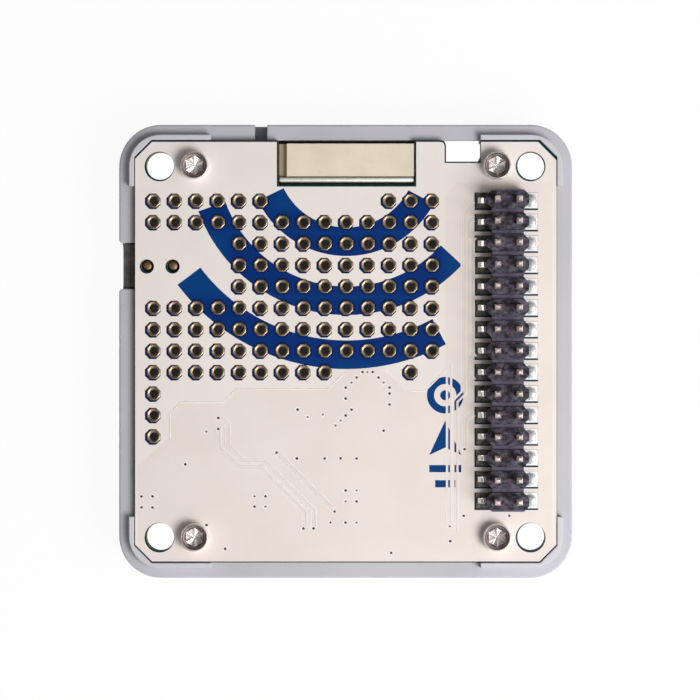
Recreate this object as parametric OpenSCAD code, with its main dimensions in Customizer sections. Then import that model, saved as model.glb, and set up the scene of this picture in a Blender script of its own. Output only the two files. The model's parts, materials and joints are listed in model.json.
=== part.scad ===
// Stackable satellite positioning module, resting with its pins up.
// A square moulded frame carries one circuit board on four corner posts. A ceramic
// antenna is let into the back edge, a bus header runs along the right edge, and a
// socket under it takes the header of the next module in the stack.
// The board's centre is the middle of the layout, and the frame's foot is z = 0.

/* [Board] */
// Edge length of the square board
board_w = 50; // [49:0.1:52]
// Thickness of the board
board_t = 1.6; // [1.2:0.1:2]
// Leg of the 45 degree cut at each corner
board_corner = 2; // [1:0.1:2.4]
// Gap between the board's edge and the frame's walls
board_gap = 0.08; // [0.08:0.01:0.3]
// Pitch of the hole grid, the header and the socket
pitch = 2.54; // [2.5:0.01:2.56]
// Width of the relief notch in the back edge
relief_w = 4.1; // [3:0.1:4.2]
// Depth of the relief notch
relief_d = 2.5; // [1.5:0.1:3]
// Centre of the relief notch, right of the board's centre
relief_x = 13.95; // [12:0.05:14]
// Rounding of the relief notch's left corner
relief_r = 0.6; // [0.2:0.1:1]

/* [Plated holes] */
// Distance of the first column of holes from the board's left edge
field_left = 2.21; // [2:0.01:2.4]
// Distance of the first row of holes from the board's back edge
field_back = 7.12; // [6.8:0.01:7.4]
// Least room between a pad and the header's lands
field_clear = 0.3; // [0.2:0.05:0.5]
// Width across the flats of an octagon pad
pad_af = 1.6; // [1.5:0.05:2]
// Thickness of the pad metal on each face
pad_t = 0.06; // [0.03:0.01:0.1]
// Diameter drilled in the board for each barrel
pad_drill = 1.1; // [1:0.05:1.2]
// Clear diameter through a plated barrel
pad_bore = 0.9; // [0.7:0.05:0.95]
// Diameter of the bright bevel round each bore
pad_bevel = 1.18; // [1:0.02:1.4]

/* [Frame] */
// Left wall, which holds the jack opening
wall_left = 1.86; // [1.5:0.01:2.4]
// Right wall
wall_right = 1.86; // [1.4:0.01:2]
// Front wall
wall_front = 1.86; // [1.5:0.01:2.2]
// Back wall
wall_back = 1.86; // [1.5:0.01:2.2]
// Radius of the outer corners
corner_r = 5; // [4:0.1:6]
// Height of the walls, from the foot to the rim
rim_h = 7; // [6.9:0.05:9]
// Rounding of the rim's outer edge
rim_round = 0.2; // [0.2:0.05:0.6]
// How far the board's printed face stands above the rim
board_rise = 0.8; // [0.4:0.05:1]
// Thickness of a corner lip
lip_t = 0.6; // [0.5:0.01:1]
// How far the lips stand above the rim
lip_rise = 1; // [0.5:0.05:1.5]
// Length of a lip along the front or back wall, from the inner corner
lip_len_x = 9.08; // [6:0.01:10]
// Length of a lip along a side wall, from the inner corner
lip_len_y = 5.48; // [4:0.01:8]
// Room round a lip in the rebate that takes it
lip_clear = 0.15; // [0.1:0.05:0.25]
// Width of the slot in the back wall
slot_w = 1.5; // [1:0.1:2]
// Depth of that slot below the rim
slot_d = 3; // [1:0.1:3]
// Centre of that slot, left of the board's centre
slot_x = 10.07; // [9:0.01:12]
// Depth of the recess in the back wall that keeps the relief notch clear down to the foot
recess_d = 0.6; // [0.3:0.05:0.8]
// Height of the full wall left above that recess
recess_band = 1; // [0.6:0.1:2]

/* [Fixings] */
// Distance of a corner hole from the board's edges
hole_inset = 3; // [2.8:0.1:3.2]
// Diameter of the corner through holes
hole_d = 3.3; // [3:0.05:3.4]
// Diameter of the wider bore in the post under a corner hole
post_bore = 4.1; // [3.4:0.05:4.2]
// Plastic round that bore
hole_boss_wall = 0.75; // [0.6:0.05:0.8]
// Distance from a corner hole to the screw beside it
screw_offset = 4.1; // [3.8:0.05:5]
// Diameter of a screw's shank
screw_d = 1.9; // [1.6:0.05:2.2]
// Length of a screw under its head
screw_len = 4.4; // [3:0.1:5]
// Diameter of a screw's head
screw_head_d = 3.2; // [3:0.05:3.8]
// Height of a screw's head
screw_head_h = 1.3; // [1:0.05:1.6]
// Bevel round the top of a screw's head
screw_bevel = 0.35; // [0.1:0.05:0.5]
// Width across the flats of a screw's hexagon socket
screw_socket_af = 1.95; // [1.5:0.05:2]
// Depth of the hexagon socket
screw_socket_d = 0.8; // [0.5:0.05:1]
// Clearance of a shank in its hole
screw_clear = 0.05; // [0.02:0.01:0.1]
// Plastic round a screw's hole
screw_boss_wall = 1.2; // [0.8:0.1:1.4]
// Width of the ribs that tie a post to the walls
rib_w = 2.4; // [1.6:0.1:3]
// Room over the screw heads of the next module
stack_clear = 0.3; // [0.2:0.05:0.5]

/* [Bus header] */
// Distance of the header's middle line from the board's right edge
bus_inset = 5.88; // [5.6:0.01:6.2]
// Front to back offset of the header from the board's centre
bus_y = 0.1; // [-0.2:0.01:0.1]
// Thickness of a pin
pin_w = 0.64; // [0.5:0.02:0.7]
// Height of the pin tips above the board
pin_h = 5; // [4.6:0.05:5.1]
// Length of the tapered pin tip
pin_tip_len = 0.5; // [0.3:0.05:0.8]
// Width of the blunt end of a tip
pin_tip_w = 0.3; // [0.2:0.02:0.4]
// Thickness of a pin's foot
foot_t = 0.4; // [0.3:0.05:0.5]
// Reach of the feet from the middle of the header
foot_reach = 3.44; // [3.2:0.02:3.6]
// Width of the header's body
header_w = 5; // [4.8:0.05:5.2]
// Height of the header's body
header_h = 1.6; // [1.4:0.05:1.8]
// Corner cut of each body segment
header_cut = 0.62; // [0.4:0.02:0.7]
// Extra length of the two end segments
header_end = 0.2; // [0:0.05:0.3]
// Width of the break groove between two segments
groove_w = 0.5; // [0.3:0.05:0.7]
// Depth of the break groove
groove_d = 0.25; // [0.2:0.05:0.8]
// Reach of the lands from the middle of the header
land_reach = 3.65; // [3.5:0.02:3.8]
// Length of a land
land_len = 1.9; // [1.6:0.05:2]
// Width of a land along the header
land_w = 1.85; // [1.5:0.05:2]
// Thickness of the tinned lands
land_t = 0.05; // [0.03:0.01:0.08]

/* [Bus socket] */
// Width of the socket's body
socket_w = 5; // [4.8:0.05:5.2]
// Gap left between the socket and the next module's header
socket_clear = 0.1; // [0.05:0.05:0.3]
// Floor of the socket round the pin entries
socket_floor = 0.5; // [0.4:0.05:0.7]
// Width of a pin entry
entry_w = 0.84; // [0.74:0.02:1]
// Length of a contact chamber across the socket
chamber_x = 1.6; // [1.5:0.05:1.8]
// Width of a contact chamber along the socket
chamber_y = 1.1; // [1:0.05:1.4]
// Thickness of a contact's spring arms
contact_t = 0.2; // [0.15:0.01:0.25]
// Gap between a contact arm and the pin that it takes
contact_gap = 0.02; // [0.01:0.01:0.05]
// Room left under a contact's spring arms
contact_room = 0.4; // [0.2:0.05:0.8]

/* [Antenna] */
// Length of the ceramic block
ceramic_w = 16; // [14:0.1:17]
// Thickness of the ceramic block
ceramic_t = 4; // [3:0.1:4.2]
// Height of the ceramic block
ceramic_h = 6; // [5:0.1:6.2]
// Length of the low step at the block's left end
ceramic_step_w = 0.9; // [0.4:0.1:1.5]
// Depth of that step
ceramic_step_d = 0.6; // [0.2:0.1:1]
// How far the block's top lies below the board's printed face
ceramic_drop = 0.2; // [0:0.05:0.4]
// Room between the block's front face and the board's back edge line
antenna_setback = 0.35; // [0.2:0.05:0.6]
// Room between the block's ends and the board
antenna_gap = 0.1; // [0.05:0.05:0.3]
// Sideways place of the antenna from the board's centre
antenna_x = 0.1; // [-0.5:0.05:0.5]
// Thickness of the silvered patch
patch_t = 0.08; // [0.05:0.01:0.1]
// Margin of bare ceramic round the patch
patch_margin = 1; // [0.6:0.1:1.5]
// Thickness of the ground plate
ground_t = 0.55; // [0.4:0.05:0.7]
// Thickness of the antenna's board
antenna_board_t = 0.8; // [0.6:0.05:1]
// How far the antenna's board reaches under the main board
antenna_tuck = 0.4; // [0.2:0.05:0.5]
// Diameter of the feed pin
feed_d = 0.8; // [0.6:0.05:1]

/* [Receiver side] */
// Distance of the receiver's middle from the header's middle line
receiver_from_bus = 15.1; // [14:0.1:16]
// Distance of the receiver's middle from the board's front edge
receiver_from_front = 11.5; // [10.5:0.1:13]
// Distance of the regulator's middle from the board's left edge
regulator_from_left = 9.5; // [9:0.1:10]
// Distance of the regulator's middle from the board's front edge
regulator_from_front = 10.5; // [10:0.1:12]
// Room between a large part and the chips beside it
chip_gap = 0.8; // [0.5:0.05:1]
// Distance between two chips of a column
chip_pitch = 3; // [2.6:0.05:3.2]
// Length of the receiver's carrier board
receiver_l = 16; // [15:0.1:17]
// Width of the receiver's carrier board
receiver_w = 12.2; // [11.5:0.1:12.5]
// Thickness of the receiver's carrier board
receiver_t = 0.8; // [0.6:0.05:1]
// Margin of the carrier board round the shield can
can_margin = 0.6; // [0.4:0.05:0.8]
// Height of the shield can
can_h = 1.6; // [1.2:0.05:1.8]
// Corner radius of the shield can
can_r = 0.5; // [0.3:0.05:0.8]
// Pitch of the solder notches along the carrier board
castle_pitch = 1.1; // [1:0.05:1.2]
// Diameter of a solder notch
castle_d = 0.5; // [0.4:0.05:0.6]
// Solder notches on each long side
castle_count = 12; // [8:1:12]
// Length of the regulator's moulded body
regulator_l = 6.5; // [6:0.1:7]
// Width of the regulator's moulded body
regulator_w = 3.5; // [3.2:0.1:3.8]
// Height of the regulator's moulded body
regulator_h = 1.6; // [1.4:0.05:1.8]
// Length of a chip capacitor
capacitor_l = 2; // [1.8:0.05:2.2]
// Width of a chip capacitor
capacitor_w = 1.25; // [1.1:0.05:1.35]
// Height of a chip capacitor
capacitor_h = 1; // [0.8:0.05:1.2]
// Length of a chip resistor
resistor_l = 1.6; // [1.5:0.05:1.7]
// Width of a chip resistor
resistor_w = 0.8; // [0.7:0.05:0.9]
// Height of a chip resistor
resistor_h = 0.45; // [0.4:0.05:0.5]

/* [Antenna jack] */
// Centre line of the jack, behind the board's centre
jack_y = 10.15; // [9:0.05:11]
// Length of the jack's housing
jack_l = 8.2; // [7.8:0.1:9]
// Width of the jack's housing
jack_w = 5.1; // [4.8:0.05:5.4]
// Height of the jack's housing
jack_h = 4.9; // [4.7:0.05:5.1]
// How far the jack's face lies back from the outside of the wall
jack_recess = 0.45; // [0.2:0.05:0.8]
// Gap between the housing and the opening in the wall
jack_gap = 0.2; // [0.1:0.05:0.4]
// Rounding of the wall's upright edges outside the opening
mouth_r = 0.4; // [0.1:0.05:0.8]
// Rounding of the housing's lower edges
jack_round = 0.8; // [0.3:0.05:1]
// Diameter of the jack's bore
jack_bore = 3.4; // [3:0.05:3.5]
// Wall of the brass sleeve
sleeve_t = 0.3; // [0.2:0.05:0.35]
// Length of the brass sleeve
sleeve_l = 4.5; // [4:0.1:5]
// Length of the insulator behind the sleeve
insulator_l = 1.5; // [1:0.1:2]
// Diameter of the centre contact
contact_d = 1.2; // [0.9:0.05:1.4]
// Bore of the centre contact
contact_bore = 0.6; // [0.4:0.05:0.7]
// Diameter of a locating peg
peg_d = 1.2; // [1:0.05:1.3]
// Diameter of a peg's hole in the board
peg_hole_d = 1.5; // [1.4:0.05:1.7]
// Distance of the first peg from the jack's face
peg_first = 3; // [2.8:0.05:3.4]
// Distance between the two pegs
peg_pitch = 3.05; // [2.8:0.05:3.3]
// Length of a peg inside the housing
peg_root = 0.35; // [0.2:0.05:0.38]
// How far a peg stops below the board's printed face
peg_drop = 0.25; // [0.1:0.05:0.6]

/* [Hidden] */
$fn = 48;
EPS = 0.01;

// Colours of the materials
frame_grey = "#bebcc2";
mask_blue = "#0a3c7c";
pad_gold = "#b4986a";
pin_gold = "#d8b48c";
tin = "#c8c8c4";
steel = "#9a9490";
header_black = "#2e2b33";
ceramic_beige = "#e0d1bb";
silver = "#dcdcd6";
board_green = "#1c5a30";
brass = "#b08d4a";
insulator_white = "#eeeeea";

// Levels
board_top = rim_h + board_rise;
board_bottom = board_top - board_t;
post_bottom = board_rise + screw_head_h + stack_clear;
foot_top = board_top + land_t + foot_t;
header_top = foot_top + header_h;
pin_top = board_top + pin_h;
under_foot = board_bottom - land_t - foot_t;
socket_mouth = header_top - rim_h + socket_clear;

// Plan of the frame
cavity = board_w / 2 + board_gap;
cavity_corner = board_corner + board_gap * (2 - sqrt(2));
wall_x0 = -cavity - wall_left;
wall_x1 = cavity + wall_right;
wall_y0 = -cavity - wall_front;
wall_y1 = cavity + wall_back;
lip_edge = cavity + lip_t;
lip_corner_r = corner_r - (wall_back - lip_t);
shift = [(wall_left - wall_right) / 2, (wall_front - wall_back) / 2, 0];

// Fixings
hole_at = board_w / 2 - hole_inset;
screw_at = hole_at - screw_offset;
hole_boss_r = post_bore / 2 + hole_boss_wall;
screw_hole_r = screw_d / 2 + screw_clear;
screw_boss_r = screw_hole_r + screw_boss_wall;

// Bus header and socket, with as many rows of pins as fit between the corner posts
bus_x = board_w / 2 - bus_inset;
bus_rows = floor(2 * (hole_at - hole_boss_r - abs(bus_y)) / pitch);
bus_len = bus_rows * pitch;
contact_len = under_foot - socket_mouth - socket_floor - contact_room;

// Plated hole field, counted from its back left hole, as [row, first column, last column]
field_x = field_left - board_w / 2;
field_y = board_w / 2 - field_back;
field_end = bus_x - land_reach - field_clear - pad_af / 2;
pad_runs = [
    [0, 0, 5], [0, 11, 13], [1, 0, 13], [2, 4, 13], [3, 4, 13], [4, 4, 13], [5, 0, 13],
    [6, 0, 13], [7, 0, 13], [8, 0, 8], [8, 12, 12], [9, 0, 0], [10, 0, 0], [11, 0, 0]
];

// Antenna, stacked from the back wall towards the middle
ceramic_x = antenna_x - ceramic_w / 2;
ceramic_front = board_w / 2 - antenna_setback;
ceramic_back = ceramic_front - ceramic_t;
ground_back = ceramic_back - ground_t;
antenna_board_back = ground_back - antenna_board_t;
ceramic_top = board_top - ceramic_drop;
ceramic_bottom = ceramic_top - ceramic_h;
feed_z = (ceramic_top + ceramic_bottom) / 2;
bay_edge = antenna_board_back + antenna_tuck;

// Jack
jack_x = wall_x0 + jack_recess;
jack_bottom = board_bottom - jack_h;
jack_axis = board_bottom - jack_h / 2;
sleeve_r = jack_bore / 2 + sleeve_t;
insulator_end = sleeve_l + insulator_l;

// Receiver side, where chips stand in columns beside the receiver and the regulator, as [x, y, turn]
receiver_at = [bus_x - receiver_from_bus, receiver_from_front - board_w / 2];
regulator_at = [regulator_from_left - board_w / 2, regulator_from_front - board_w / 2];
receiver_side = receiver_w / 2 + chip_gap;
regulator_side = regulator_l / 2 + chip_gap;
capacitor_at = concat(
    chip_column(regulator_at[0] + regulator_side + capacitor_l / 2, regulator_at[1], [-1.5 : 1.5], 0),
    chip_column(regulator_at[0] - regulator_side - capacitor_w / 2, regulator_at[1], [0], 90),
    chip_column(receiver_at[0] + receiver_side + capacitor_w / 2, receiver_at[1], [1], 90)
);
resistor_at = concat(
    chip_column(receiver_at[0] - receiver_side - resistor_w / 2, receiver_at[1], [-1.5 : 1.5], 90),
    chip_column(receiver_at[0] + receiver_side + resistor_w / 2, receiver_at[1], [-1, 0], 90)
);

// Leads of the regulator, metal ends of the chips and tail of the jack's contact
lead_t = 0.25;
lead_w = 0.7;
lead_out = 1.7;
lead_pitch = 2.3;
tab_w = 3;
capacitor_cap = 0.4;
resistor_cap = 0.3;
tail_w = 0.6;
tail_t = 0.3;

function arc(x, y, r, from, to, steps = 6) =
    [for (i = [0 : steps]) let (a = from + (to - from) * i / steps) [x + r * cos(a), y + r * sin(a)]];

function chip_column(x, y, rows, turn) = [for (row = rows) [x, y + row * chip_pitch, turn]];

function bus_row_y(row) = bus_y + (row - (bus_rows - 1) / 2) * pitch;

// Moves a piece from the board's own centre to the middle of the frame
module placed() {
    translate(shift) children();
}

// Repeats a corner feature at all four corners
module at_corners() {
    for (mx = [0, 1], my = [0, 1])
        mirror([mx, 0, 0]) mirror([0, my, 0]) children();
}

// Repeats a feature at every pin of the bus, with its side as -1 or 1
module at_bus_pins() {
    for (row = [0 : bus_rows - 1], side = [-1, 1])
        translate([bus_x, bus_row_y(row), 0])
            mirror([side < 0 ? 1 : 0, 0, 0]) children();
}

// Repeats a feature at every plated hole that stays clear of the header's lands
module at_pads() {
    for (run = pad_runs, column = [run[1] : run[2]])
        if (field_x + column * pitch <= field_end)
            translate([field_x + column * pitch, field_y - run[0] * pitch, 0]) children();
}

module at_pegs() {
    for (i = [0, 1])
        translate([jack_x + peg_first + i * peg_pitch, jack_y, 0]) children();
}

// Block from one corner to the opposite one
module span(low, high) {
    translate(low) cube(high - low);
}

// Square with 45 degree corner cuts
module cut_square(half, cut) {
    polygon([
        [half, half - cut], [half - cut, half], [cut - half, half], [-half, half - cut],
        [-half, cut - half], [cut - half, -half], [half - cut, -half], [half, cut - half]
    ]);
}

// Section through the outside of the frame, with a rounded rim
module rim_section() {
    round_z = rim_h - rim_round;
    polygon(concat(
        [[0, 0], [corner_r, 0]],
        arc(corner_r - rim_round, round_z, rim_round, 0, 90),
        [[0, rim_h]]
    ));
}

module rim_corner(x, y, turn) {
    translate([x, y, 0]) rotate(turn) rotate_extrude(angle = 90) rim_section();
}

module rim_side(x, y, turn, length) {
    translate([x, y, 0]) rotate([90, 0, turn]) linear_extrude(length) rim_section();
}

// Closed ring with the frame's outer form
module outer_ring() {
    x0 = wall_x0 + corner_r;
    x1 = wall_x1 - corner_r;
    y0 = wall_y0 + corner_r;
    y1 = wall_y1 - corner_r;
    rim_corner(x1, y1, 0);
    rim_corner(x0, y1, 90);
    rim_corner(x0, y0, 180);
    rim_corner(x1, y0, 270);
    rim_side(x1, y1, 0, y1 - y0);
    rim_side(x0, y1, 90, x1 - x0);
    rim_side(x0, y0, 180, y1 - y0);
    rim_side(x1, y0, 270, x1 - x0);
}

// Quarter of a rounded square, from an arm's end to the corner
module corner_arms(edge, r, end_x, end_y, low, high) {
    span([end_x, end_y, low], [edge - r, edge, high]);
    span([end_x, end_y, low], [edge, edge - r, high]);
    translate([edge - r, edge - r, low]) cylinder(r = r, h = high - low);
}

module lip() {
    difference() {
        corner_arms(
            lip_edge, lip_corner_r, cavity - lip_len_x, cavity - lip_len_y, rim_h - lip_t, rim_h + lip_rise
        );
        cavity_space();
    }
}

// Room at the foot for the lip of the next module
module lip_rebate() {
    corner_arms(
        lip_edge + lip_clear, lip_corner_r + lip_clear,
        cavity - lip_len_x - lip_clear, cavity - lip_len_y - lip_clear, -EPS, lip_rise + lip_clear
    );
}

module cavity_space() {
    translate([0, 0, -EPS]) linear_extrude(rim_h + lip_rise + 2 * EPS) cut_square(cavity, cavity_corner);
}

// Post under one corner of the board, with ribs into the two walls
module corner_post() {
    into_wall = cavity + lip_t / 2;
    translate([hole_at, hole_at, post_bottom]) cylinder(r = hole_boss_r, h = board_bottom - post_bottom);
    translate([screw_at, hole_at, post_bottom]) cylinder(r = screw_boss_r, h = board_bottom - post_bottom);
    span([hole_at - rib_w / 2, hole_at, post_bottom], [hole_at + rib_w / 2, into_wall, board_bottom]);
    span([hole_at, hole_at - rib_w / 2, post_bottom], [into_wall, hole_at + rib_w / 2, board_bottom]);
    span([screw_at - rib_w / 2, hole_at, post_bottom], [screw_at + rib_w / 2, into_wall, board_bottom]);
    span([screw_at, hole_at - rib_w / 2, post_bottom], [hole_at, hole_at + rib_w / 2, board_bottom]);
}

module corner_bores() {
    translate([hole_at, hole_at, 0]) cylinder(d = post_bore, h = board_top);
    translate([screw_at, hole_at, 0]) cylinder(r = screw_hole_r, h = board_top);
}

// Block along the jack with round lower edges, and with some room round the housing
module jack_block(x, length, room, top) {
    half = jack_w / 2 + room;
    low = jack_bottom - room;
    r = jack_round + room;
    translate([x, jack_y, 0])
        rotate([90, 0, 90])
            linear_extrude(length)
                polygon(concat(
                    [[half, top], [-half, top]],
                    arc(r - half, low + r, r, 180, 270),
                    arc(half - r, low + r, r, 270, 360)
                ));
}

// Rounds the two upright edges of the jack's opening on the outside of the wall
module jack_mouth() {
    half = jack_w / 2 + jack_gap + mouth_r;
    low = jack_bottom + jack_round;
    translate([wall_x0, jack_y, low])
        linear_extrude(rim_h - low + EPS)
            polygon(concat(
                arc(mouth_r, half, mouth_r, 270, 180),
                [[-EPS, half], [-EPS, -half]],
                arc(mouth_r, -half, mouth_r, 180, 90)
            ));
}

// Recess in the back wall below the board's relief notch
module notch_recess() {
    half = relief_w / 2 + board_gap;
    span([relief_x - half, cavity - EPS, -EPS], [relief_x + half, cavity + recess_d, rim_h - recess_band]);
}

module frame() {
    color(frame_grey) placed() difference() {
        union() {
            difference() {
                outer_ring();
                cavity_space();
            }
            at_corners() lip();
            at_corners() corner_post();
        }
        at_corners() lip_rebate();
        at_corners() corner_bores();
        jack_block(wall_x0 - EPS, wall_left + 2 * EPS, jack_gap, rim_h + EPS);
        jack_mouth();
        span(
            [-slot_x - slot_w / 2, cavity - EPS, rim_h - slot_d],
            [-slot_x + slot_w / 2, wall_y1 + EPS, rim_h + EPS]
        );
        notch_recess();
    }
}

// Outline of the board with the antenna bay and the relief notch
module board_outline() {
    half = board_w / 2;
    bay_half = ceramic_w / 2 + antenna_gap;
    relief_x0 = relief_x - relief_w / 2;
    relief_x1 = relief_x + relief_w / 2;
    polygon(concat(
        [
            [half, half - board_corner], [half - board_corner, half],
            [relief_x1, half], [relief_x1, half - relief_d], [relief_x0, half - relief_d]
        ],
        arc(relief_x0 - relief_r, half - relief_r, relief_r, 0, 90),
        [
            [antenna_x + bay_half, half], [antenna_x + bay_half, bay_edge],
            [antenna_x - bay_half, bay_edge], [antenna_x - bay_half, half],
            [board_corner - half, half], [-half, half - board_corner],
            [-half, board_corner - half], [board_corner - half, -half],
            [half - board_corner, -half], [half, board_corner - half]
        ]
    ));
}

module corner_holes_in_board() {
    translate([hole_at, hole_at, board_bottom - EPS]) cylinder(d = hole_d, h = board_t + 2 * EPS);
    translate([screw_at, hole_at, board_bottom - EPS]) cylinder(r = screw_hole_r, h = board_t + 2 * EPS);
}

module main_board() {
    color(mask_blue) placed() difference() {
        translate([0, 0, board_bottom]) linear_extrude(board_t) board_outline();
        at_corners() corner_holes_in_board();
        at_pads() translate([0, 0, board_bottom - EPS])
            cylinder(d = pad_drill, h = board_t + 2 * EPS, $fn = 24);
        at_pegs() translate([0, 0, board_bottom - EPS]) cylinder(d = peg_hole_d, h = board_t + 2 * EPS);
    }
}

module octagon_pad(low) {
    translate([0, 0, low]) rotate(22.5) cylinder(d = pad_af / cos(22.5), h = pad_t, $fn = 8);
}

// One plated hole: a pad on each face and the barrel between them
module plated_hole() {
    bevel_h = (pad_bevel - pad_bore) / 2;
    low = board_bottom - pad_t;
    high = board_top + pad_t;
    difference() {
        union() {
            octagon_pad(low);
            octagon_pad(board_top);
            translate([0, 0, low]) cylinder(d = pad_drill, h = high - low, $fn = 24);
        }
        translate([0, 0, low - EPS]) cylinder(d = pad_bore, h = high - low + 2 * EPS, $fn = 24);
        translate([0, 0, high - bevel_h]) cylinder(d1 = pad_bore, d2 = pad_bevel, h = bevel_h, $fn = 24);
    }
}

module proto_pads() {
    color(pad_gold) placed() at_pads() plated_hole();
}

// One screw: a bevelled head with a hexagon socket over a plain shank
module board_screw() {
    r = screw_head_d / 2;
    rotate_extrude() polygon([
        [0, -screw_len], [screw_d / 2, -screw_len], [screw_d / 2, 0], [r, 0],
        [r, screw_head_h - screw_bevel], [r - screw_bevel, screw_head_h], [0, screw_head_h]
    ]);
}

module board_screws() {
    color(steel) placed() at_corners() translate([screw_at, hole_at, board_top]) difference() {
        board_screw();
        translate([0, 0, screw_head_h - screw_socket_d])
            cylinder(d = screw_socket_af / cos(30), h = screw_socket_d + EPS, $fn = 6);
    }
}

// Plan of one header segment, an octagon that is longer across the header
module segment_plan() {
    half_x = header_w / 2;
    half_y = (pitch - groove_w) / 2;
    polygon([
        [half_x, half_y - header_cut], [half_x - header_cut, half_y],
        [header_cut - half_x, half_y], [-half_x, half_y - header_cut],
        [-half_x, header_cut - half_y], [header_cut - half_x, -half_y],
        [half_x - header_cut, -half_y], [half_x, header_cut - half_y]
    ]);
}

module header_body() {
    web_w = header_w - 2 * header_cut;
    web_len = bus_len - pitch;
    color(header_black) placed() difference() {
        union() {
            for (row = [0 : bus_rows - 1])
                translate([bus_x, bus_row_y(row), foot_top])
                    linear_extrude(header_h) segment_plan();
            for (end = [-1, 1])
                translate([bus_x, bus_y + end * (web_len / 2 + header_end), foot_top])
                    linear_extrude(header_h) segment_plan();
            translate([bus_x - web_w / 2, bus_y - web_len / 2, foot_top])
                cube([web_w, web_len, header_h - groove_d]);
        }
        at_bus_pins() translate([pitch / 2 - pin_w / 2, -pin_w / 2, foot_top - EPS])
            cube([pin_w, pin_w, header_h + 2 * EPS]);
    }
}

// Side view of a pin's post with its blunt taper
module post_side(low) {
    taper_z = pin_top - pin_tip_len;
    polygon([
        [-pin_w / 2, low], [pin_w / 2, low], [pin_w / 2, taper_z],
        [pin_tip_w / 2, pin_top], [-pin_tip_w / 2, pin_top], [-pin_w / 2, taper_z]
    ]);
}

module header_pin() {
    low = board_top + land_t;
    translate([pitch / 2, 0, 0]) intersection() {
        translate([0, pin_w / 2, 0]) rotate([90, 0, 0]) linear_extrude(pin_w) post_side(low);
        translate([-pin_w / 2, 0, 0]) rotate([90, 0, 90]) linear_extrude(pin_w) post_side(low);
    }
    span([pitch / 2, -pin_w / 2, low], [foot_reach, pin_w / 2, low + foot_t]);
}

module header_pins() {
    color(pin_gold) placed() at_bus_pins() header_pin();
}

module land(low) {
    translate([land_reach - land_len, -land_w / 2, low]) cube([land_len, land_w, land_t]);
}

module header_lands() {
    color(tin) placed() at_bus_pins() land(board_top);
}

module socket_lands() {
    color(tin) placed() at_bus_pins() land(board_bottom - land_t);
}

module socket_body() {
    color(header_black) placed() difference() {
        span(
            [bus_x - socket_w / 2, bus_y - bus_len / 2, socket_mouth],
            [bus_x + socket_w / 2, bus_y + bus_len / 2, under_foot]
        );
        at_bus_pins() translate([pitch / 2, 0, 0]) {
            span([-entry_w / 2, -entry_w / 2, socket_mouth - EPS], [entry_w / 2, entry_w / 2, under_foot]);
            span(
                [-chamber_x / 2, -chamber_y / 2, socket_mouth + socket_floor],
                [chamber_x / 2, chamber_y / 2, under_foot + EPS]
            );
        }
    }
}

// Forked contact with a foot that reaches out to its land
module socket_contact() {
    arm_x = pin_w / 2 + contact_gap;
    translate([pitch / 2, 0, 0]) {
        span(
            [-arm_x - contact_t, -pin_w / 2, under_foot - contact_t],
            [arm_x + contact_t, pin_w / 2, under_foot]
        );
        for (side = [0, 1]) mirror([side, 0, 0]) span(
            [arm_x, -pin_w / 2, under_foot - contact_len],
            [arm_x + contact_t, pin_w / 2, under_foot]
        );
        span([-arm_x, -pin_w / 2, under_foot - contact_t], [arm_x, pin_w / 2, under_foot + foot_t]);
    }
    span([pitch / 2, -pin_w / 2, under_foot], [foot_reach, pin_w / 2, under_foot + foot_t]);
}

module socket_contacts() {
    color(pin_gold) placed() at_bus_pins() socket_contact();
}

module feed_bore() {
    translate([antenna_x, ceramic_front + EPS, feed_z]) rotate([90, 0, 0])
        cylinder(d = feed_d, h = ceramic_front - antenna_board_back + 2 * EPS);
}

module antenna_ceramic() {
    color(ceramic_beige) placed() difference() {
        span([ceramic_x, ceramic_back, ceramic_bottom], [ceramic_x + ceramic_w, ceramic_front, ceramic_top]);
        span(
            [ceramic_x - EPS, ceramic_back - EPS, ceramic_top - ceramic_step_d],
            [ceramic_x + ceramic_step_w, ceramic_front + EPS, ceramic_top + EPS]
        );
        feed_bore();
    }
}

module antenna_patch() {
    step_top = ceramic_top - ceramic_step_d;
    color(silver) placed() span(
        [ceramic_x + patch_margin, ceramic_front, ceramic_bottom + patch_margin],
        [ceramic_x + ceramic_w - patch_margin, ceramic_front + patch_t, step_top]
    );
}

module antenna_ground_plate() {
    color(silver) placed() difference() {
        span([ceramic_x, ground_back, ceramic_bottom], [ceramic_x + ceramic_w, ceramic_back, ceramic_top]);
        feed_bore();
    }
}

module antenna_board() {
    color(board_green) placed() difference() {
        span(
            [ceramic_x, antenna_board_back, ceramic_bottom],
            [ceramic_x + ceramic_w, ground_back, board_bottom]
        );
        feed_bore();
    }
}

module antenna_feed_pin() {
    color(tin) placed() translate([antenna_x, ceramic_front, feed_z]) rotate([90, 0, 0])
        cylinder(d = feed_d, h = ceramic_front - antenna_board_back);
}

// Carrier board with half-round solder notches along its long sides
module receiver_board() {
    floor_z = board_bottom - receiver_t;
    color(mask_blue) placed() translate([receiver_at[0], receiver_at[1], floor_z]) difference() {
        translate([-receiver_w / 2, -receiver_l / 2, 0]) cube([receiver_w, receiver_l, receiver_t]);
        for (side = [-1, 1], i = [0 : castle_count - 1])
            translate([side * receiver_w / 2, (i - (castle_count - 1) / 2) * castle_pitch, -EPS])
                cylinder(d = castle_d, h = receiver_t + 2 * EPS, $fn = 24);
    }
}

module receiver_can() {
    half_x = receiver_w / 2 - can_margin;
    half_y = receiver_l / 2 - can_margin;
    color(tin) placed() translate([receiver_at[0], receiver_at[1], board_bottom - receiver_t - can_h]) {
        translate([can_r - half_x, -half_y, 0]) cube([2 * (half_x - can_r), 2 * half_y, can_h]);
        translate([-half_x, can_r - half_y, 0]) cube([2 * half_x, 2 * (half_y - can_r), can_h]);
        at_corners() translate([half_x - can_r, half_y - can_r, 0]) cylinder(r = can_r, h = can_h);
    }
}

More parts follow.
